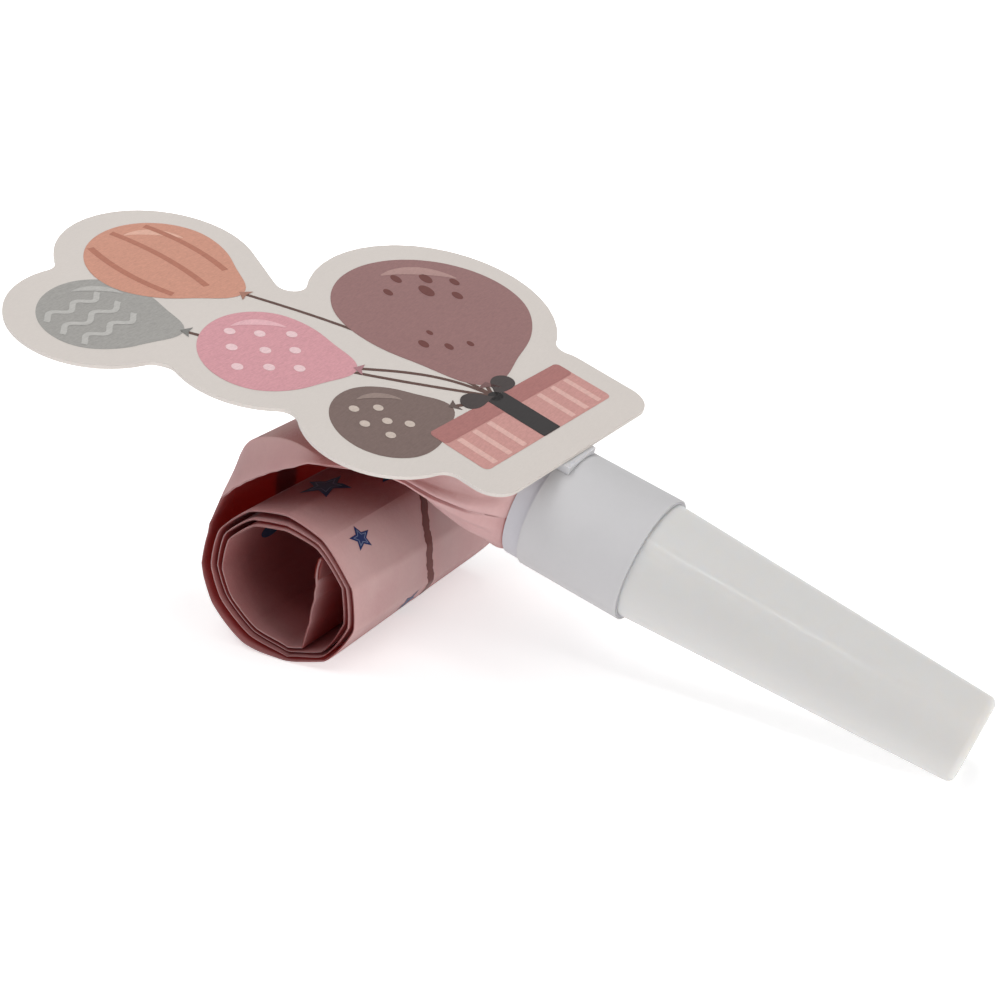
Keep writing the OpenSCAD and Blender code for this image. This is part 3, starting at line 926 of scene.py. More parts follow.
@dataclass
class PaperRoll:
    """The flattened paper tube from the collar to its tip, cut at the middle of each bend."""

    shape: RollShape
    mesher: Mesher
    paper: Material
    spring: Material
    # Steps between rows on the pieces up to fine_last and on the others, and rows at the crease,
    # then the spring strip's rows and half its thickness
    fine_step: float = 0.55
    fine_last: int = 6
    step: float = 0.8
    crease_rows: tuple[float, ...] = (-0.5, -0.2, 0.0, 0.2, 0.5)
    spring_rows: int = 30
    spring_half: float = 0.055
    # Where the lighter folds start to show, and the strength of the painted highlight along the
    # corner's fold line
    crease_from: Pair = (2.0, 8.0)
    fold_highlight_share: float = 0.6
    # Outside of the folded end: length past the tip, and height in half-thicknesses
    end_path: tuple[Pair, ...] = ((-4.5, 1.9), (-2.25, 1.85), (-0.15, 1.7), (0.1, 0.9), (0.16, 0.0))
    # Its inside: how far back and how high; its width; its torn edge: depth, closeness and height
    end_inside: Pair = (0.03, 0.8)
    end_wide: float = 0.992
    end_torn: Triple = (0.22, 31.0, 1.75)
    # Share of the neck that stays stiff, and how far apart the two sheets' noise is; its sign also
    # tells the painted shade which sheet faces into the roll
    stiff: float = 0.55
    sheet_gap: float = 40.0

    def span(self, i: int) -> Pair:
        """The lengths between which a piece runs.

        Args:
            i: The piece's number; 0 is the neck.

        Returns:
            Its first and last length along the strip.
        """
        s = self.shape.sizes
        first = -s.neck - s.neck_root if i == 0 else s.middle(i)
        return first, s.middle(i + 1) if i < s.bends else s.end

    def reach(self, obj: Piece, i: int, rows: int) -> tuple[tuple, tuple]:
        """Finds the places between which a piece bends, inside its stiff end rows.

        Args:
            obj: The piece, whose points are in rows along the strip.
            i: The piece's number; 0 is the neck.
            rows: How many rows it has.

        Returns:
            The two places in metres.
        """
        co = np.array([v.co for v in obj.data.vertices]).reshape(rows, -1, 3)
        first = int(rows * self.stiff) if i == 0 else 0
        start, end = co[first].mean(0), co[-1].mean(0)
        way = (end - start) / np.linalg.norm(end - start)
        low, high, base = (co[first] @ way).max(), (co[-1] @ way).min(), float(start @ way)
        return tuple(start + way * (low - base)), tuple(start + way * (high - base))

    def hang(self, obj: Piece, i: int, rows: int) -> None:
        """Attaches the last piece to its bend's body; for the others, finds the places between which
        they would bend and bakes their transforms.

        Args:
            obj: The piece, whose points are in rows along the strip.
            i: The piece's number; 0 is the neck.
            rows: How many rows it has.
        """
        if i == self.shape.sizes.bends:
            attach(obj, f"bend_{i:02d}")
            return
        start, end = self.reach(obj, i, rows)
        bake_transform(obj)
        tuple(start)
        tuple(end)

    def with_crease(self, rows: Array) -> Array:
        """Adds rows at the crease before the flap.

        Args:
            rows: Lengths of a piece's rows.

        Returns:
            The lengths, with the crease's where the piece has it.
        """
        start = self.shape.sizes.flap_start
        if rows[0] < start < rows[-1]:
            rows = np.sort(np.concatenate([rows, start + np.array(self.crease_rows)]))
        return rows

    def lengths(self, i: int) -> Array:
        """Lengths at which a piece has its rows.

        Args:
            i: The piece's number; 0 is the neck.

        Returns:
            The lengths, with the crease of the flap among them.
        """
        first, last = self.span(i)
        step = self.fine_step if i <= self.fine_last else self.step
        return self.with_crease(np.linspace(first, last, max(4, round((last - first) / step) + 1)))

    def tube_piece(self, i: int) -> Piece:
        """Makes one piece of the paper tube.

        Args:
            i: The piece's number; 0 is the neck.

        Returns:
            The new piece.
        """
        wide, side, thick = self.shape.across()
        rows = self.lengths(i)
        wide = self.shape.follow_fold(rows, wide)
        grid = self.shape.place(rows[:, None], wide, side[None], thick[None])
        name = "neck_paper" if i == 0 else f"roll_paper_{i:02d}"
        obj = self.mesher.ring(name, grid, self.paper)
        flat = np.broadcast_to(rows[:, None], grid.shape[:2])
        across = wide * self.shape.sizes.half_width
        strip = np.stack([flat, across, side[None] * self.sheet_gap + 0 * flat], -1)
        self.mesher.mark(obj, "strip_place", "FLOAT_VECTOR", strip)
        # Lighter folds of the roll, and the painted highlight along the fold line of the loose loop's
        # corner
        crease = self.shape.crease(grid) * rise(flat, *self.crease_from)
        fold = self.fold_highlight_share * self.shape.fold_highlight_mask(flat, across + self.shape.drift(flat))
        self.mesher.mark(obj, "crease", "FLOAT", np.maximum(crease, fold))
        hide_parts("paper_neck" if i == 0 else f"paper_bend_{i:02d}")
        self.hang(obj, i, len(rows))
        return obj

    def spring_piece(self, i: int) -> Piece:
        """Makes one piece of the spring strip inside the paper.

        Args:
            i: The piece's number; 0 is its root in the neck.

        Returns:
            The new piece.
        """
        s = self.shape.sizes
        first, last = self.span(i)
        first = -s.neck - s.recoil_root if i == 0 else first
        last = s.end - s.tab if i == s.bends else last
        rows = self.with_crease(np.linspace(first, last, self.spring_rows))
        half = np.interp(rows + s.neck, self.shape.neck_at, self.shape.neck_wide)
        across = np.array([-1.0, -0.33, 0.33, 1.0])
        wide = np.concatenate([across, across[::-1]]) * s.recoil_half / half[:, None]
        out = np.repeat([1.0, -1.0], len(across)) * self.spring_half / s.half_thick
        grid = self.shape.place(rows[:, None], wide, np.ones_like(wide), out, 0.0)
        name = "spring_root" if i == 0 else f"spring_{i:02d}"
        obj = self.mesher.ring(name, grid, self.spring, False)
        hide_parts("recoil_root" if i == 0 else f"recoil_strip_{i:02d}")
        self.hang(obj, i, len(rows))
        return obj

    def end_fold(self) -> Piece:
        """Makes the paper's end, folded over the flap's tip.

        Returns:
            The new piece.
        """
        s = self.shape.sizes
        sheet = np.linspace(-1.0, 1.0, 41)
        out = [(s.end + a, b) for a, b in self.end_path]
        path = out + [(a, -b) for a, b in out[-2::-1]]
        back, share = self.end_inside
        inner = [(a - back, b * share) for a, b in path[::-1]]
        deep, close, high = self.end_torn
        rim = []
        for length, lift in path + inner:
            torn = deep * np.sin(sheet * close) * (abs(lift) > high)
            side, thick = np.full_like(sheet, np.sign(lift)), np.full_like(sheet, abs(lift))
            rim.append(self.shape.place(length + torn, sheet * self.end_wide, side, thick))
        grid = np.stack(rim, 1)
        obj = self.mesher.ring("roll_end_fold", grid, self.paper)
        flat = np.full(grid.shape[:2], s.end) + np.arange(len(rim))
        strip = np.stack([flat, sheet[:, None] * s.half_width + 0 * flat, 0 * flat], -1)
        self.mesher.mark(obj, "strip_place", "FLOAT_VECTOR", strip)
        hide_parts("end_tab")
        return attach(obj, f"bend_{s.bends:02d}")

    def build(self) -> None:
        """Makes every piece of the roll."""
        for i in range(self.shape.sizes.bends + 1):
            for obj in (self.tube_piece(i), self.spring_piece(i)):
                log.info("made %s", obj.name)
        log.info("made %s", self.end_fold().name)


@dataclass
class RollPrint:
    """Small stars and a wavy streamer printed on the outside of the roll, and a spot inside it."""

    shape: RollShape
    mesher: Mesher
    roll: PaperRoll
    navy: Material
    pale: Material
    brown: Material
    # Length along the strip, distance across, radius and turn of each star
    stars: tuple[Quad, ...] = (
        (96.5, -8.2, 4.3, 12.0), (91.0, 1.2, 2.6, 40.0), (84.0, -13.4, 2.2, 5.0),
        (81.0, 8.5, 2.6, 22.0), (68.5, -4.0, 2.4, 31.0), (55.0, 9.0, 3.0, 8.0),
        (40.0, -6.0, 2.4, 50.0), (24.5, 8.0, 3.0, 15.0), (12.0, -2.0, 2.2, 27.0))
    # Where the star's sides dip in, and the scale, lift and hollow of its pale line
    star_dip: float = 0.46
    star_line: Triple = (0.66, 0.05, 0.86)
    # The spot inside the roll: length, distance across, and half its size along and across
    inner_spot: Quad = (249.1, -8.8, 1.3, 2.5)
    # Height of the spot's and the streamer's ink over the paper
    ink_lift: float = 0.04
    # Pieces that the streamer crosses, its first and last length, and the step of its rows
    streamer_pieces: range = range(3, 7)
    streamer_ends: Pair = (58.0, 92.0)
    streamer_step: float = 0.4
    # Its sway: middle, depth, start and length; its slope and where that is 0; its width's wavers
    streamer_sway: Quad = (1.2, 2.4, 56.0, 4.4)
    streamer_slope: Pair = (75.0, 0.10)
    streamer_half: float = 0.80
    streamer_wavers: tuple[Pair, ...] = ((0.10, 2.9), (0.06, 7.1))

    def lay(self, name: str, length: Array, across: Array, lift: float, faces: list,
            ink: Material, i: int, side: float = 1.0) -> None:
        """Lays a sheet of ink on the paper of one piece.

        Args:
            name: The piece's name.
            length: Lengths along the strip.
            across: Distances across it.
            lift: Height over the paper.
            faces: Faces by point number.
            ink: Its material.
            i: The paper piece that it is printed on.
            side: 1 for the sheet that faces out of the roll, -1 for the one that faces in.
        """
        s = self.shape.sizes
        raised = np.full_like(length, 1.0 + lift / s.half_thick)
        wide = (across - self.shape.drift(length)) / s.half_width
        points = self.shape.place(length, wide, np.full_like(length, side), raised)
        obj = self.mesher.solid(name, points, faces, ink)
        strip = np.stack([length, across, 0 * length + self.roll.sheet_gap * side], -1)
        self.mesher.mark(obj, "strip_place", "FLOAT_VECTOR", strip)
        paper = bpy.data.objects[f"roll_paper_{i:02d}"]
        start, end = self.roll.reach(paper, i, len(self.roll.lengths(i)))
        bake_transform(obj)
        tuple(start)
        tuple(end)
        log.info("printed %s", name)

    def rings(self, name: str, middle: Pair, rim: tuple[Array, Array], count: int, hollow: float,
              lift: float, ink: Material, side: float = 1.0) -> None:
        """Lays a shape of rings that shrink towards its middle.

        Args:
            name: The piece's name.
            middle: Length along the strip and distance across.
            rim: The rim's distances along and across from there.
            count: Number of rings.
            hollow: Share of the rim at the innermost ring.
            lift: Height over the paper.
            ink: Its material.
            side: 1 for the outer sheet, -1 for the inner one.
        """
        share, n = np.linspace(hollow, 1.0, count)[:, None], len(rim[0])
        length = middle[0] + (share * rim[0]).ravel()
        across = middle[1] + (share * rim[1]).ravel()
        faces = [[k * n + j, k * n + (j + 1) % n, (k + 1) * n + (j + 1) % n, (k + 1) * n + j]
                 for k in range(count - 1) for j in range(n)]
        self.lay(name, length, across, lift, faces, ink, self.piece_at(middle[0]), side)

    def star(self, number: int, length: float, across: float, radius: float, turn: float) -> None:
        """Prints one star with a pale line inside it.

        Args:
            number: The star's number.
            length: Its length along the strip.
            across: Its distance across.
            radius: Its radius.
            turn: Its turn in degrees.
        """
        points, rings = 60, 9
        a = np.arange(points) / points * TURN
        fifth, dip = TURN / 5, self.star_dip
        off = np.abs((a / fifth + 0.5) % 1.0 - 0.5) * fifth
        inner = dip * math.sin(fifth / 2)
        r = inner / (np.sin(off) * (1.0 - dip * math.cos(fifth / 2)) + np.cos(off) * inner)
        aim = a + math.radians(turn)
        for ink, name, (scale, lift, hollow) in ((self.navy, "star", (1.0, 0.03, 0.0)),
                                                 (self.pale, "star_line", self.star_line)):
            reach = radius * scale * r
            rim = (reach * np.cos(aim), reach * np.sin(aim))
            piece = f"roll_{name}_{number:02d}"
            self.rings(piece, (length, across), rim, rings, hollow, lift, ink)

    def spot(self, length: float, across: float, half_long: float, half_wide: float) -> None:
        """Lays a dark oval spot, in the navy ink, on the sheet that faces into the roll.

        Args:
            length: Its length along the strip.
            across: Its distance across.
            half_long: Half its size along the strip.
            half_wide: Half its size across.
        """
        points, rings = 36, 6
        a = np.arange(points) / points * TURN
        rim = (half_long * np.cos(a), half_wide * np.sin(a))
        self.rings("roll_spot", (length, across), rim, rings, 0.0, self.ink_lift, self.navy, -1.0)

    def streamer(self) -> None:
        """Prints the wavy streamer, one sheet on each piece of paper that it crosses."""
        cols = np.linspace(-1.0, 1.0, 5)
        base, deep, start, long = self.streamer_sway
        level, slope = self.streamer_slope
        for i in self.streamer_pieces:
            first, last = self.roll.span(i)
            first, last = max(first, self.streamer_ends[0]), min(last, self.streamer_ends[1])
            if last <= first:
                continue
            count = max(8, int((last - first) / self.streamer_step))
            rows = np.linspace(first, last, count)
            middle = base + deep * np.sin((rows - start) / long) + (rows - level) * slope
            half = self.streamer_half + sum(w * np.sin(rows * q) for w, q in self.streamer_wavers)
            length = np.repeat(rows, len(cols))
            across = (middle[:, None] + half[:, None] * cols).ravel()
            faces = self.mesher.grid_faces(len(rows), len(cols), False)
            name = f"roll_streamer_{i:02d}"
            self.lay(name, length, across, self.ink_lift, faces, self.brown, i)

    def piece_at(self, length: float) -> int:
        """Finds the number of the paper piece at a length."""
        return next(i for i in range(1, self.shape.sizes.bends) if self.roll.span(i)[1] > length)

    def build(self) -> None:
        """Prints everything."""
        for number, star in enumerate(self.stars, 1):
            self.star(number, *star)
        self.streamer()
        self.spot(*self.inner_spot)


@dataclass(frozen=True)
class CardFrame:
    """Places the card's flat shapes: away from the mouth, across, and height over its face."""

    tube: TubeFrame
    collar_end: float = 65.2
    lift: float = 9.57
    roll: float = 6.0
    thick: float = 0.5

    def place(self, away: Array, across: Array, height: float) -> Array:
        """Places points of the card.

        Args:
            away: Distances from the collar's end, away from the mouth.
            across: Distances across the tube.
            height: Height over the printed face.

        Returns:
            The points in the row frame.
        """
        c, s = math.cos(math.radians(self.roll)), math.sin(math.radians(self.roll))
        up = self.lift + self.thick + height
        return self.tube.place(-self.collar_end - away, across * c - up * s, across * s + up * c)


@dataclass(frozen=True)
class Balloon:
    """One printed balloon: its middle, its radius and its inks."""

    name: str
    middle: Pair
    radius: float
    ink: Rgb
    shine: Rgb
    layer: Layer
    # How far off the tied end is, as a share of the radius
    tied: float = 1.30
    # How far its tip and its shoulders are drawn out, and over what angle, and how slim its back is
    tip: Pair = (0.30, 0.36)
    shoulder: Pair = (0.03, 0.85)
    slim: float = 0.035

    def towards(self, knot: Array) -> Array:
        """Finds the way from the balloon's middle to the knot, with a length of 1."""
        away = knot - np.array(self.middle)
        return away / np.linalg.norm(away)

    def neck_end(self, knot: Array) -> Array:
        """Where the balloon is tied, on the way to the knot."""
        return np.array(self.middle) + self.towards(knot) * self.radius * self.tied

    def outline(self, knot: Array) -> Array:
        """Draws the balloon's teardrop.

        Args:
            knot: Where the strings meet.

        Returns:
            The outline's points.
        """
        way = self.towards(knot)
        a = np.linspace(-math.pi, math.pi, 97)[:-1]
        pull = sum(np.exp(-(a / wide) ** 2) * far for far, wide in (self.tip, self.shoulder))
        back = 1.0 - self.slim * np.cos(2 * a) * rise(np.abs(a), 0.9, 0.8)
        r, aim = self.radius * (1.0 + pull) * back, a + math.atan2(way[1], way[0])
        return np.array(self.middle) + np.stack([r * np.cos(aim), r * np.sin(aim)], -1)


@dataclass
class CardPrint:
    """A bunch of balloons tied to a gift, printed on the card as thin sheets of ink."""

    place: CardFrame
    mesher: Mesher
    knot: Array = field(default_factory=lambda: np.array([11.03, 2.04]))
    gift_middle: Pair = (6.05, 1.6)
    gift_half: Pair = (5.0, 14.5)
    gift_lean: float = 5.0
    inks: dict[str, Material] = field(default_factory=dict)
    balloons: tuple[Balloon, ...] = (
        Balloon("mauve", (30.03, 14.04), 14.82, (137, 103, 101), (163, 131, 126), Layer.MIDDLE),
        Balloon("peach", (63.96, -7.8), 10.53, (191, 139, 120), (210, 166, 148), Layer.NEAR),
        Balloon("grey", (58.66, -24.65), 8.58, (151, 149, 145), (172, 170, 166), Layer.FAR),
        Balloon("rose", (38.61, -14.04), 9.52, (198, 145, 151), (214, 170, 175), Layer.MIDDLE),
        Balloon("taupe", (17.55, -14.43), 7.8, (112, 95, 90), (138, 121, 114), Layer.FAR),
    )
    # Spots of the mauve balloon: middle and half the size; dots of two others, from their middles
    spots: tuple[Quad, ...] = (
        (36.0, 20.5, 1.35, 0.9), (32.6, 23.4, 1.0, 0.7), (38.8, 16.6, 1.15, 0.75),
        (33.8, 17.6, 1.6, 1.05), (30.0, 20.4, 1.1, 0.75), (37.2, 12.4, 0.95, 0.65),
        (22.6, 7.4, 0.85, 0.6), (25.4, 5.0, 1.0, 0.7), (21.0, 10.6, 0.7, 0.5),
        (26.6, 8.2, 0.65, 0.45))
    rose_dots: tuple[Pair, ...] = (
        (0, 0), (3.2, 2.6), (-2.6, 3.2), (3.4, -3.0), (-3.0, -2.8), (0.3, 6.0), (-0.2, -6.0),
        (6.2, -0.2), (-5.8, 0.2))
    taupe_dots: tuple[Pair, ...] = (
        (0, 0), (2.6, 1.5), (-2.4, 1.8), (1.6, -2.8), (-2.2, -2.2), (4.6, -1.2))
    # Each balloon's shine: first and last angle, distance and half-width as shares of the radius
    shine_span: Pair = (8.0, 74.0)
    shine_at: float = 0.74
    shine_half: float = 0.075
    # Half the strings' width, and the length from which they bow in full
    string_half: float = 0.32
    string_full: float = 20.0
    # Near sides of the gift's stripes, and how wide its ribbon is on each side
    gift_stripes: tuple[float, ...] = (-12.6, -9.4, -6.2, 5.2, 8.4, 11.6)
    ribbon_half: float = 1.9

    def ink(self, colour: Rgb) -> Material:
        """Gives the material of an ink, made once for each colour.

        Args:
            colour: The ink's display colour.

        Returns:
            The ink's material.
        """
        key = "ink_%02x%02x%02x" % tuple(int(c) for c in colour)
        if key not in self.inks:
            self.inks[key] = CardFinish(key, colour, fleck=0.34).make()
        return self.inks[key]

    def sheets(self, name: str, outlines: list[Array], colour: Rgb, layer: Layer,
               ribbon: bool = False) -> None:
        """Prints some flat shapes in one ink.

        Args:
            name: The piece's name.
            outlines: Outlines as arrays of points.
            colour: The ink.
            layer: Its height.
            ribbon: Whether the outlines are ribbons, there along one side and back on the other.
        """
        points, faces = [], []
        for n, line in enumerate(outlines):
            turned = line if self.area(line) < 0 else line[::-1]
            first, end = len(points), len(points) + len(line)
            if ribbon:
                faces += [[first + k, first + k + 1, end - 2 - k, end - 1 - k]
                          for k in range(len(line) // 2 - 1)]
            else:
                faces.append(list(range(first, end)))
            height = layer.value + 0.0004 * (n % 9)
            points.extend(self.place.place(turned[:, 0], turned[:, 1], height))
        obj = self.mesher.solid(name, np.array(points), faces, self.ink(colour), False)
        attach(obj, "root")
        log.info("printed %s", name)

    @staticmethod
    def area(line: Array) -> float:
        """Signed area of an outline, above 0 if it runs counter-clockwise."""
        x, y = line[:, 0], line[:, 1]
        return 0.5 * float(np.sum(x * np.roll(y, -1) - y * np.roll(x, -1)))

    @staticmethod
    def oval(middle: Pair, wide: float, high: float, turn: float = 0.0) -> Array:
        """Draws an oval.

        Args:
            middle: Its middle.
            wide: Half its length.
            high: Half its width.
            turn: Its turn in degrees.

        Returns:
            The outline's points.
        """
        a = np.linspace(0, TURN, 33)[:-1]
        c, s = math.cos(math.radians(turn)), math.sin(math.radians(turn))
        x, y = wide * np.cos(a), high * np.sin(a)
        return np.array(middle) + np.stack([x * c - y * s, x * s + y * c], -1)

    @staticmethod
    def band(line: Array, half: float | Array) -> Array:
        """Draws a ribbon along a line.

        Args:
            line: The line's points.
            half: Half the ribbon's width, everywhere or at each point.

        Returns:
            The outline's points.
        """
        way = np.gradient(line, axis=0)
        way = way / np.linalg.norm(way, axis=1, keepdims=True)
        width = np.broadcast_to(half, len(line))[:, None]
        side = np.stack([-way[:, 1], way[:, 0]], -1) * width
        return np.concatenate([line + side, (line - side)[::-1]])

    def gift_point(self, x: float, y: float) -> Array:
        """Places a point of the gift, x up and y across from its middle."""
        c, s = math.cos(math.radians(self.gift_lean)), math.sin(math.radians(self.gift_lean))
        return np.array(self.gift_middle) + np.array([x * c - y * s, x * s + y * c])

    def box(self, x0: float, x1: float, y0: float, y1: float, soft: float = 0.2) -> Array:
        """Draws a rectangle with rounded corners on the gift.

        Args:
            x0: Its lower end.
            x1: Its upper end.
            y0: Its near side.
            y1: Its far side.
            soft: Radius of its corners.

        Returns:
            The outline's points.
        """
        corners = ((x1 - soft, y1 - soft), (x0 + soft, y1 - soft), (x0 + soft, y0 + soft),
                   (x1 - soft, y0 + soft))
        out = []
        for n, (cx, cy) in enumerate(corners):
            for k in range(7):
                a = math.radians(90 * n + 15 * k)
                out.append(self.gift_point(cx + soft * math.cos(a), cy + soft * math.sin(a)))
        return np.array(out)

    def strings(self) -> None:
        """Prints the balloons' strings, from each neck to the knot."""
        lines = []
        u = np.linspace(0, 1, 25)[:, None]
        for n, b in enumerate(self.balloons):
            start = b.neck_end(self.knot)
            reach = self.knot - start
            bow = np.array([0.0, 2.2 if n % 2 else -1.6]) * np.sin(np.pi * u)
            bow = bow * min(1.0, np.linalg.norm(reach) / self.string_full)
            lines.append(self.band(start + reach * u + bow, self.string_half))
        self.sheets("print_strings", lines, (88, 66, 60), Layer.FAR, True)

    def balloon(self, b: Balloon) -> None:
        """Prints one balloon with its shine and its tied end.

        Args:
            b: The balloon.
        """
        self.sheets(f"print_balloon_{b.name}", [b.outline(self.knot)], b.ink, b.layer)
        first, last = map(math.radians, self.shine_span)
        a = np.linspace(first, last, 21)
        arc = np.array(b.middle) + np.stack([np.cos(a), np.sin(a)], -1) * b.radius * self.shine_at
        half = self.shine_half * b.radius * np.sin(np.linspace(0.12, math.pi - 0.12, len(a)))
        self.sheets(f"print_shine_{b.name}", [self.band(arc, half)], b.shine, Layer.DETAIL, True)
        end, away = b.neck_end(self.knot), b.towards(self.knot)
        side = np.array([-away[1], away[0]]) * (0.10 * b.radius + 0.45)
        tip = end + away * 1.2
        tie = np.array([end - away * 0.3, tip + side, end + away * 0.9, tip - side])
        self.sheets(f"print_tie_{b.name}", [tie], tuple(0.8 * c for c in b.ink), Layer.TOP)

    def patterns(self) -> None:
        """Prints spots, stripes, dots and waves on the balloons."""
        spots = [self.oval((x, y), w, h, 20) for x, y, w, h in self.spots]
        self.sheets("print_spots_mauve", spots, (98, 56, 52), Layer.DETAIL)
        _, peach, grey, rose, taupe = self.balloons
        stripes = []
        for off in (-0.52, 0.0, 0.52):
            u = np.linspace(-1, 1, 31)
            bend = off + 0.10 * (1 - u * u) * np.sign(off or 1)
            line = np.stack([u * math.sqrt(1 - off * off) * 0.88, bend], -1) * peach.radius
            stripes.append(self.band(np.array(peach.middle) + line, 0.55))
        self.sheets("print_stripes_peach", stripes, (166, 110, 92), Layer.DETAIL, True)
        for b, at, r, colour in ((rose, self.rose_dots, 0.8, (220, 190, 192)),
                                 (taupe, self.taupe_dots, 0.7, (188, 174, 164))):
            dots = [self.oval((b.middle[0] + x, b.middle[1] + y), r, r) for x, y in at]
            self.sheets(f"print_dots_{b.name}", dots, colour, Layer.DETAIL)
        waves = []
        for off in (-3.4, 0.0, 3.4):
            u = np.linspace(-1, 1, 41)
            reach = math.sqrt(1 - (off / grey.radius) ** 2) * 7.4
            line = np.stack([off + 0.7 * np.sin(u * 7.5), u * reach * 0.78 - 1.7], -1)
            waves.append(self.band(np.array(grey.middle) + line, 0.4))
        self.sheets("print_waves_grey", waves, (176, 174, 170), Layer.DETAIL, True)

    def gift(self) -> None:
        """Prints the gift, its lid, its ribbons and its bow."""
        top, far = self.gift_half
        near = self.ribbon_half
        body, lid = self.box(-top, top, -far, far, 0.9), self.box(1.9, top, -far, far, 0.8)
        stripes = [self.box(-4.6, 1.7, y, y + 1.0) for y in self.gift_stripes]
        ribbon = self.box(-top, top, -near, near)
        self.sheets("print_gift", [body], (188, 140, 134), Layer.MIDDLE)
        self.sheets("print_gift_stripes", stripes, (206, 166, 158), Layer.NEAR)
        self.sheets("print_gift_lid", [lid], (158, 108, 104), Layer.DETAIL)
        self.sheets("print_gift_ribbon", [ribbon], (46, 43, 43), Layer.TOP)
        loops = []
        for turn in (68, -62):
            u = np.linspace(0, TURN, 41)[:-1]
            r = 6.0 * np.cos(u / 2) ** 2
            a = math.radians(turn) + 0.55 * np.sin(u)
            loops.append(self.knot + np.stack([0.8 * r * np.cos(a), r * np.sin(a)], -1))
        self.sheets("print_bow", loops, (62, 55, 54), Layer.TOP)
        self.sheets("print_knot", [self.oval(self.knot, 1.0, 1.25, 5)], (36, 33, 33), Layer.TOP)

    def build(self) -> None:
        """Prints the whole card."""
        self.strings()
        for b in self.balloons:
            self.balloon(b)
        self.patterns()
        self.gift()


@dataclass
class HardParts:
    """The nodes that keep their CAD meshes, each with its own material."""

    nodes: dict[str, Piece]
    finishes: dict[str, object] = field(default_factory=lambda: {
        "mouthpiece": PlasticFinish("mouthpiece_plastic", (200, 199, 197), depth=0.0024, share=0.9,
                                    roughness=0.5, coat=0.4, gloss=0.2),
        "reed_carrier": PlasticFinish("reed_plastic", (232, 224, 206), roughness=0.4, coat=0.0),
        "reed_clip": PlasticFinish("clip_plastic", (186, 62, 60), roughness=0.35, coat=0.0,
                                   share=0.2),
        "reed_tongue": PlasticFinish("reed_film", (238, 238, 230), roughness=0.16, coat=0.0,
                                     share=0.2),
        "inner_tube": WoundPaperFinish("collar_paper", (186, 185, 190)),
        "outer_sleeve": WoundPaperFinish("sleeve_paper", (188, 187, 188)),
        "card": CardFinish("card_white", (202, 195, 189), fleck=0.07),
        "card_tape": PlasticFinish("tape", (190, 189, 191), roughness=0.5, coat=0.0, share=0.3),
    })

    def build(self) -> None:
        """Gives each node its material."""
        for name, finish in self.finishes.items():
            materials = self.nodes[name].data.materials
            materials.clear()
            materials.append(finish.make())
            log.info("finished %s", name)


@dataclass(frozen=True)
class Lamp:
    """A soft box: place, aim and size in metres, power in watts, colour as a screen shows it."""

    name: str
    place: Triple
    aim: Triple
    size: Pair
    power: float
    tint: Rgb = (255, 255, 255)
    # Whether glossy skins mirror it
    shines: bool = False

    def build(self) -> None:
        """Adds the lamp."""
        data = bpy.data.lights.new(self.name, "AREA")
        data.shape, (data.size, data.size_y) = "RECTANGLE", self.size
        data.energy, data.color = self.power, linear(self.tint)[:3]
        obj = bpy.data.objects.new(self.name, data)
        bpy.context.scene.collection.objects.link(obj)
        obj.location = self.place
        obj.rotation_mode = "QUATERNION"
        way = Vector(self.aim) - Vector(self.place)
        obj.rotation_quaternion = way.to_track_quat("-Z", "Y")
        obj.visible_glossy = self.shines


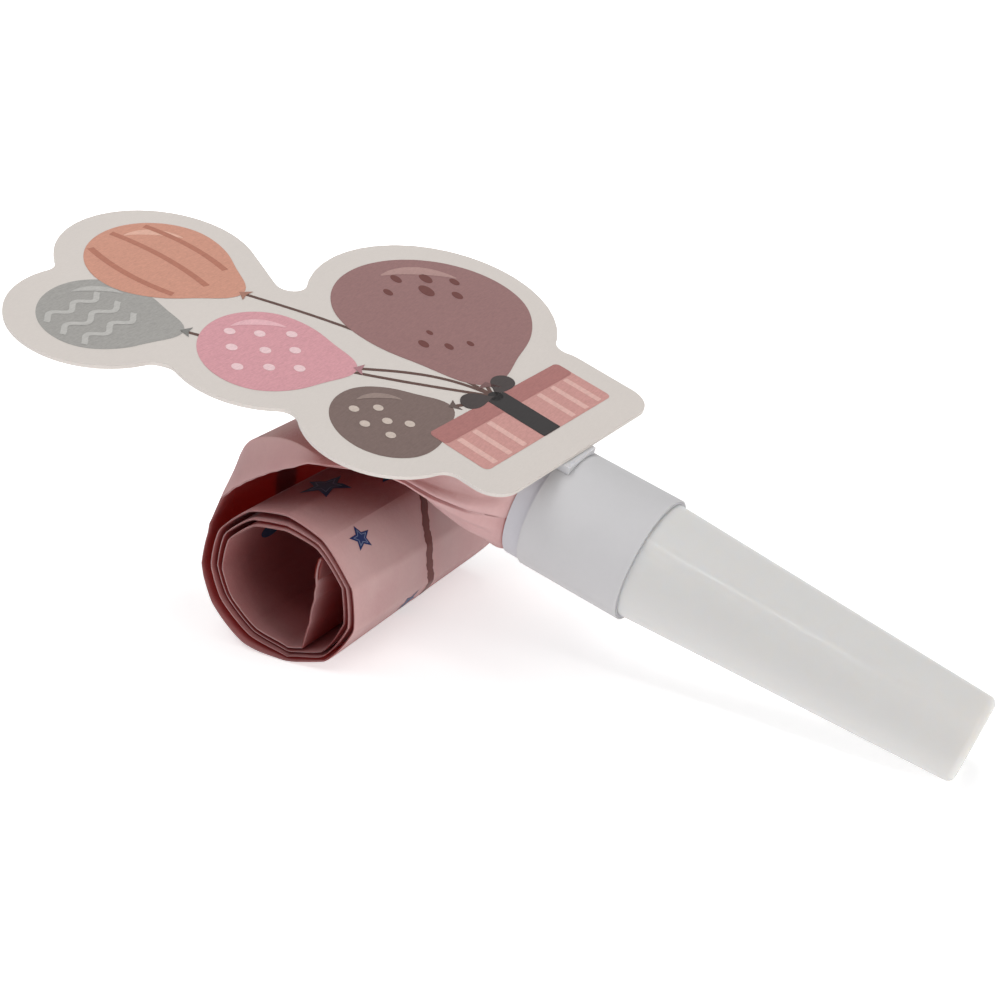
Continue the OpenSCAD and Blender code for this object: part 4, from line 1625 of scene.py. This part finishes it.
@dataclass
class Studio:
    """Camera, lights and floor. The camera has the photograph's viewing angle."""

    mesher: Mesher
    tube: TubeFrame
    azimuth: float = 30.58
    elevation: float = 23.07
    distance: float = 210.8
    # Aim from the mouth end's centre
    target: Triple = (-68.35, 0.0, 17.785)
    lens: float = 54.0
    sensor: float = 36.0
    # How much the floor glows for the camera near the object, so that it is white with soft shadows
    floor_near: float = 0.54
    # Light that the floor sends up, as a light table does
    floor_glow: float = 0.42
    # Distances in metres between which the glow grows to 1, and half the floor's side
    floor_fade: Pair = (0.08, 0.45)
    floor_half: float = 3000.0
    surround: float = 0.26
    lamps: tuple[Lamp, ...] = (
        Lamp("key", (-0.04, -0.78, 0.17), (-0.02, 0.0, 0.03), (0.5, 0.25), 1.8, (253, 252, 255)),
        Lamp("side", (0.80, -0.04, 0.18), (-0.03, 0.0, 0.02), (0.5, 0.26), 2.6, (255, 253, 250)),
        Lamp("top", (-0.05, 0.05, 0.80), (0.0, 0.0, 0.02), (0.5, 0.4), 3.3),
        Lamp("strip", (-0.009, -0.287, 0.540), (0.033, 0.0, 0.015), (0.5, 0.035), 0.5, shines=True),
    )

    def camera(self) -> None:
        """Places the camera."""
        a, e = math.radians(self.azimuth), math.radians(self.elevation)
        back = np.array([math.sin(a) * math.cos(e), -math.cos(a) * math.cos(e), math.sin(e)])
        data = bpy.data.cameras.new("photo_camera")
        data.lens, data.sensor_width = self.lens, self.sensor
        data.clip_start, data.clip_end = 0.01, 10.0
        obj = bpy.data.objects.new("photo_camera", data)
        bpy.context.scene.collection.objects.link(obj)
        aim = self.tube.origin + np.array(self.target)
        obj.location = tuple((aim + back * self.distance) * MM)
        right = np.array([math.cos(a), math.sin(a), 0.0])
        rows = np.stack([right, np.cross(back, right), back], 1)
        obj.rotation_mode = "QUATERNION"
        obj.rotation_quaternion = Matrix(rows.tolist()).to_quaternion()
        bpy.context.scene.camera = obj

    def world(self) -> None:
        """Makes the white surround."""
        world = bpy.data.worlds.new("surround")
        bpy.context.scene.world = world
        world.use_nodes = True
        nodes, links = world.node_tree.nodes, world.node_tree.links
        nodes.clear()
        ray, seen = nodes.new("ShaderNodeLightPath"), nodes.new("ShaderNodeMath")
        dim, white = nodes.new("ShaderNodeBackground"), nodes.new("ShaderNodeBackground")
        mix, out = nodes.new("ShaderNodeMixShader"), nodes.new("ShaderNodeOutputWorld")
        dim.inputs[0].default_value = linear((244, 245, 248))
        dim.inputs[1].default_value = self.surround
        white.inputs[0].default_value = (1.0, 1.0, 1.0, 1.0)
        seen.operation = "MAXIMUM"
        for source, target in ((ray.outputs["Is Camera Ray"], seen.inputs[0]),
                               (ray.outputs["Is Glossy Ray"], seen.inputs[1]),
                               (seen.outputs[0], mix.inputs[0]),
                               (dim.outputs[0], mix.inputs[1]),
                               (white.outputs[0], mix.inputs[2]),
                               (mix.outputs[0], out.inputs[0])):
            links.new(source, target)

    def floor(self) -> None:
        """Lays the pale floor."""
        t = NodeTree("floor_pale")
        place = t.add("ShaderNodeTexCoord").outputs["Object"]
        away = t.add("ShaderNodeVectorMath", operation="LENGTH")
        t.put(away, 0, place)
        low, high = ((grey, grey, grey, 1.0) for grey in (0.86, 0.89))
        tone = t.mix(t.noise(6.0, 3.0, place), low, high)
        skin = t.add("ShaderNodeBsdfDiffuse", Color=tone, Roughness=0.4)
        start, end = self.floor_fade
        lift = t.add("ShaderNodeMapRange", interpolation_type="SMOOTHSTEP",
                     Value=away.outputs["Value"], From_Min=start, From_Max=end,
                     To_Min=self.floor_near, To_Max=1.0)
        ray = t.add("ShaderNodeLightPath").outputs["Is Camera Ray"]
        unseen = t.maths("MULTIPLY", self.floor_glow, t.maths("SUBTRACT", 1.0, ray))
        glow = t.maths("ADD", t.maths("MULTIPLY", lift.outputs[0], ray), unseen)
        lit = t.add("ShaderNodeEmission", Strength=glow)
        total = t.add("ShaderNodeAddShader")
        t.put(total, 0, skin.outputs[0])
        t.put(total, 1, lit.outputs[0])
        far = self.floor_half
        corners = np.array([[-far, -far, 0], [far, -far, 0], [far, far, 0], [-far, far, 0]])
        obj = self.mesher.solid("floor", corners, [[0, 1, 2, 3]], t.finish(total.outputs[0]), False)

    def build(self) -> None:
        """Sets up the whole studio."""
        self.camera()
        self.world()
        self.floor()
        for lamp in self.lamps:
            lamp.build()
        bpy.context.scene.view_settings.view_transform = "Standard"


def main() -> None:
    """Builds the scene in order."""
    logging.basicConfig(level=logging.INFO, format="%(name)s: %(message)s")
    mesher = Mesher()
    tube = TubeFrame.of_record(frame["record"], behind=4.125)
    Studio(mesher, tube).build()
    shape = RollShape(RollSizes(), tube)
    HardParts(frame["nodes"]).build()
    paper = PaperFinish("roll_paper", (221, 188, 186), (211, 172, 171), (240, 84, 52)).make()
    spring = PlasticFinish("spring_film", (206, 214, 222), roughness=0.12, coat=0.2, share=0.1)
    roll = PaperRoll(shape, mesher, paper, spring.make())
    roll.build()
    # Tints of the painted shade that darkens the inks where other layers are near
    blue, warm = (150, 150, 158), (150, 120, 120)
    inks = [PaperFinish(name, colour, deep, glow, painted_shade_tint, share, roughness=0.5).make()
            for name, colour, deep, glow, painted_shade_tint, share in (
                ("roll_navy", (38, 54, 98), (26, 40, 84), (30, 40, 80), blue, 0.02),
                ("roll_pale_line", (140, 152, 180), (120, 132, 162), (120, 130, 160), blue, 0.02),
                ("roll_brown", (112, 62, 58), (96, 48, 46), (120, 40, 30), warm, 0.03))]
    RollPrint(shape, mesher, roll, *inks).build()
    CardPrint(CardFrame(tube), mesher).build()


if __name__ == "__main__":
    main()
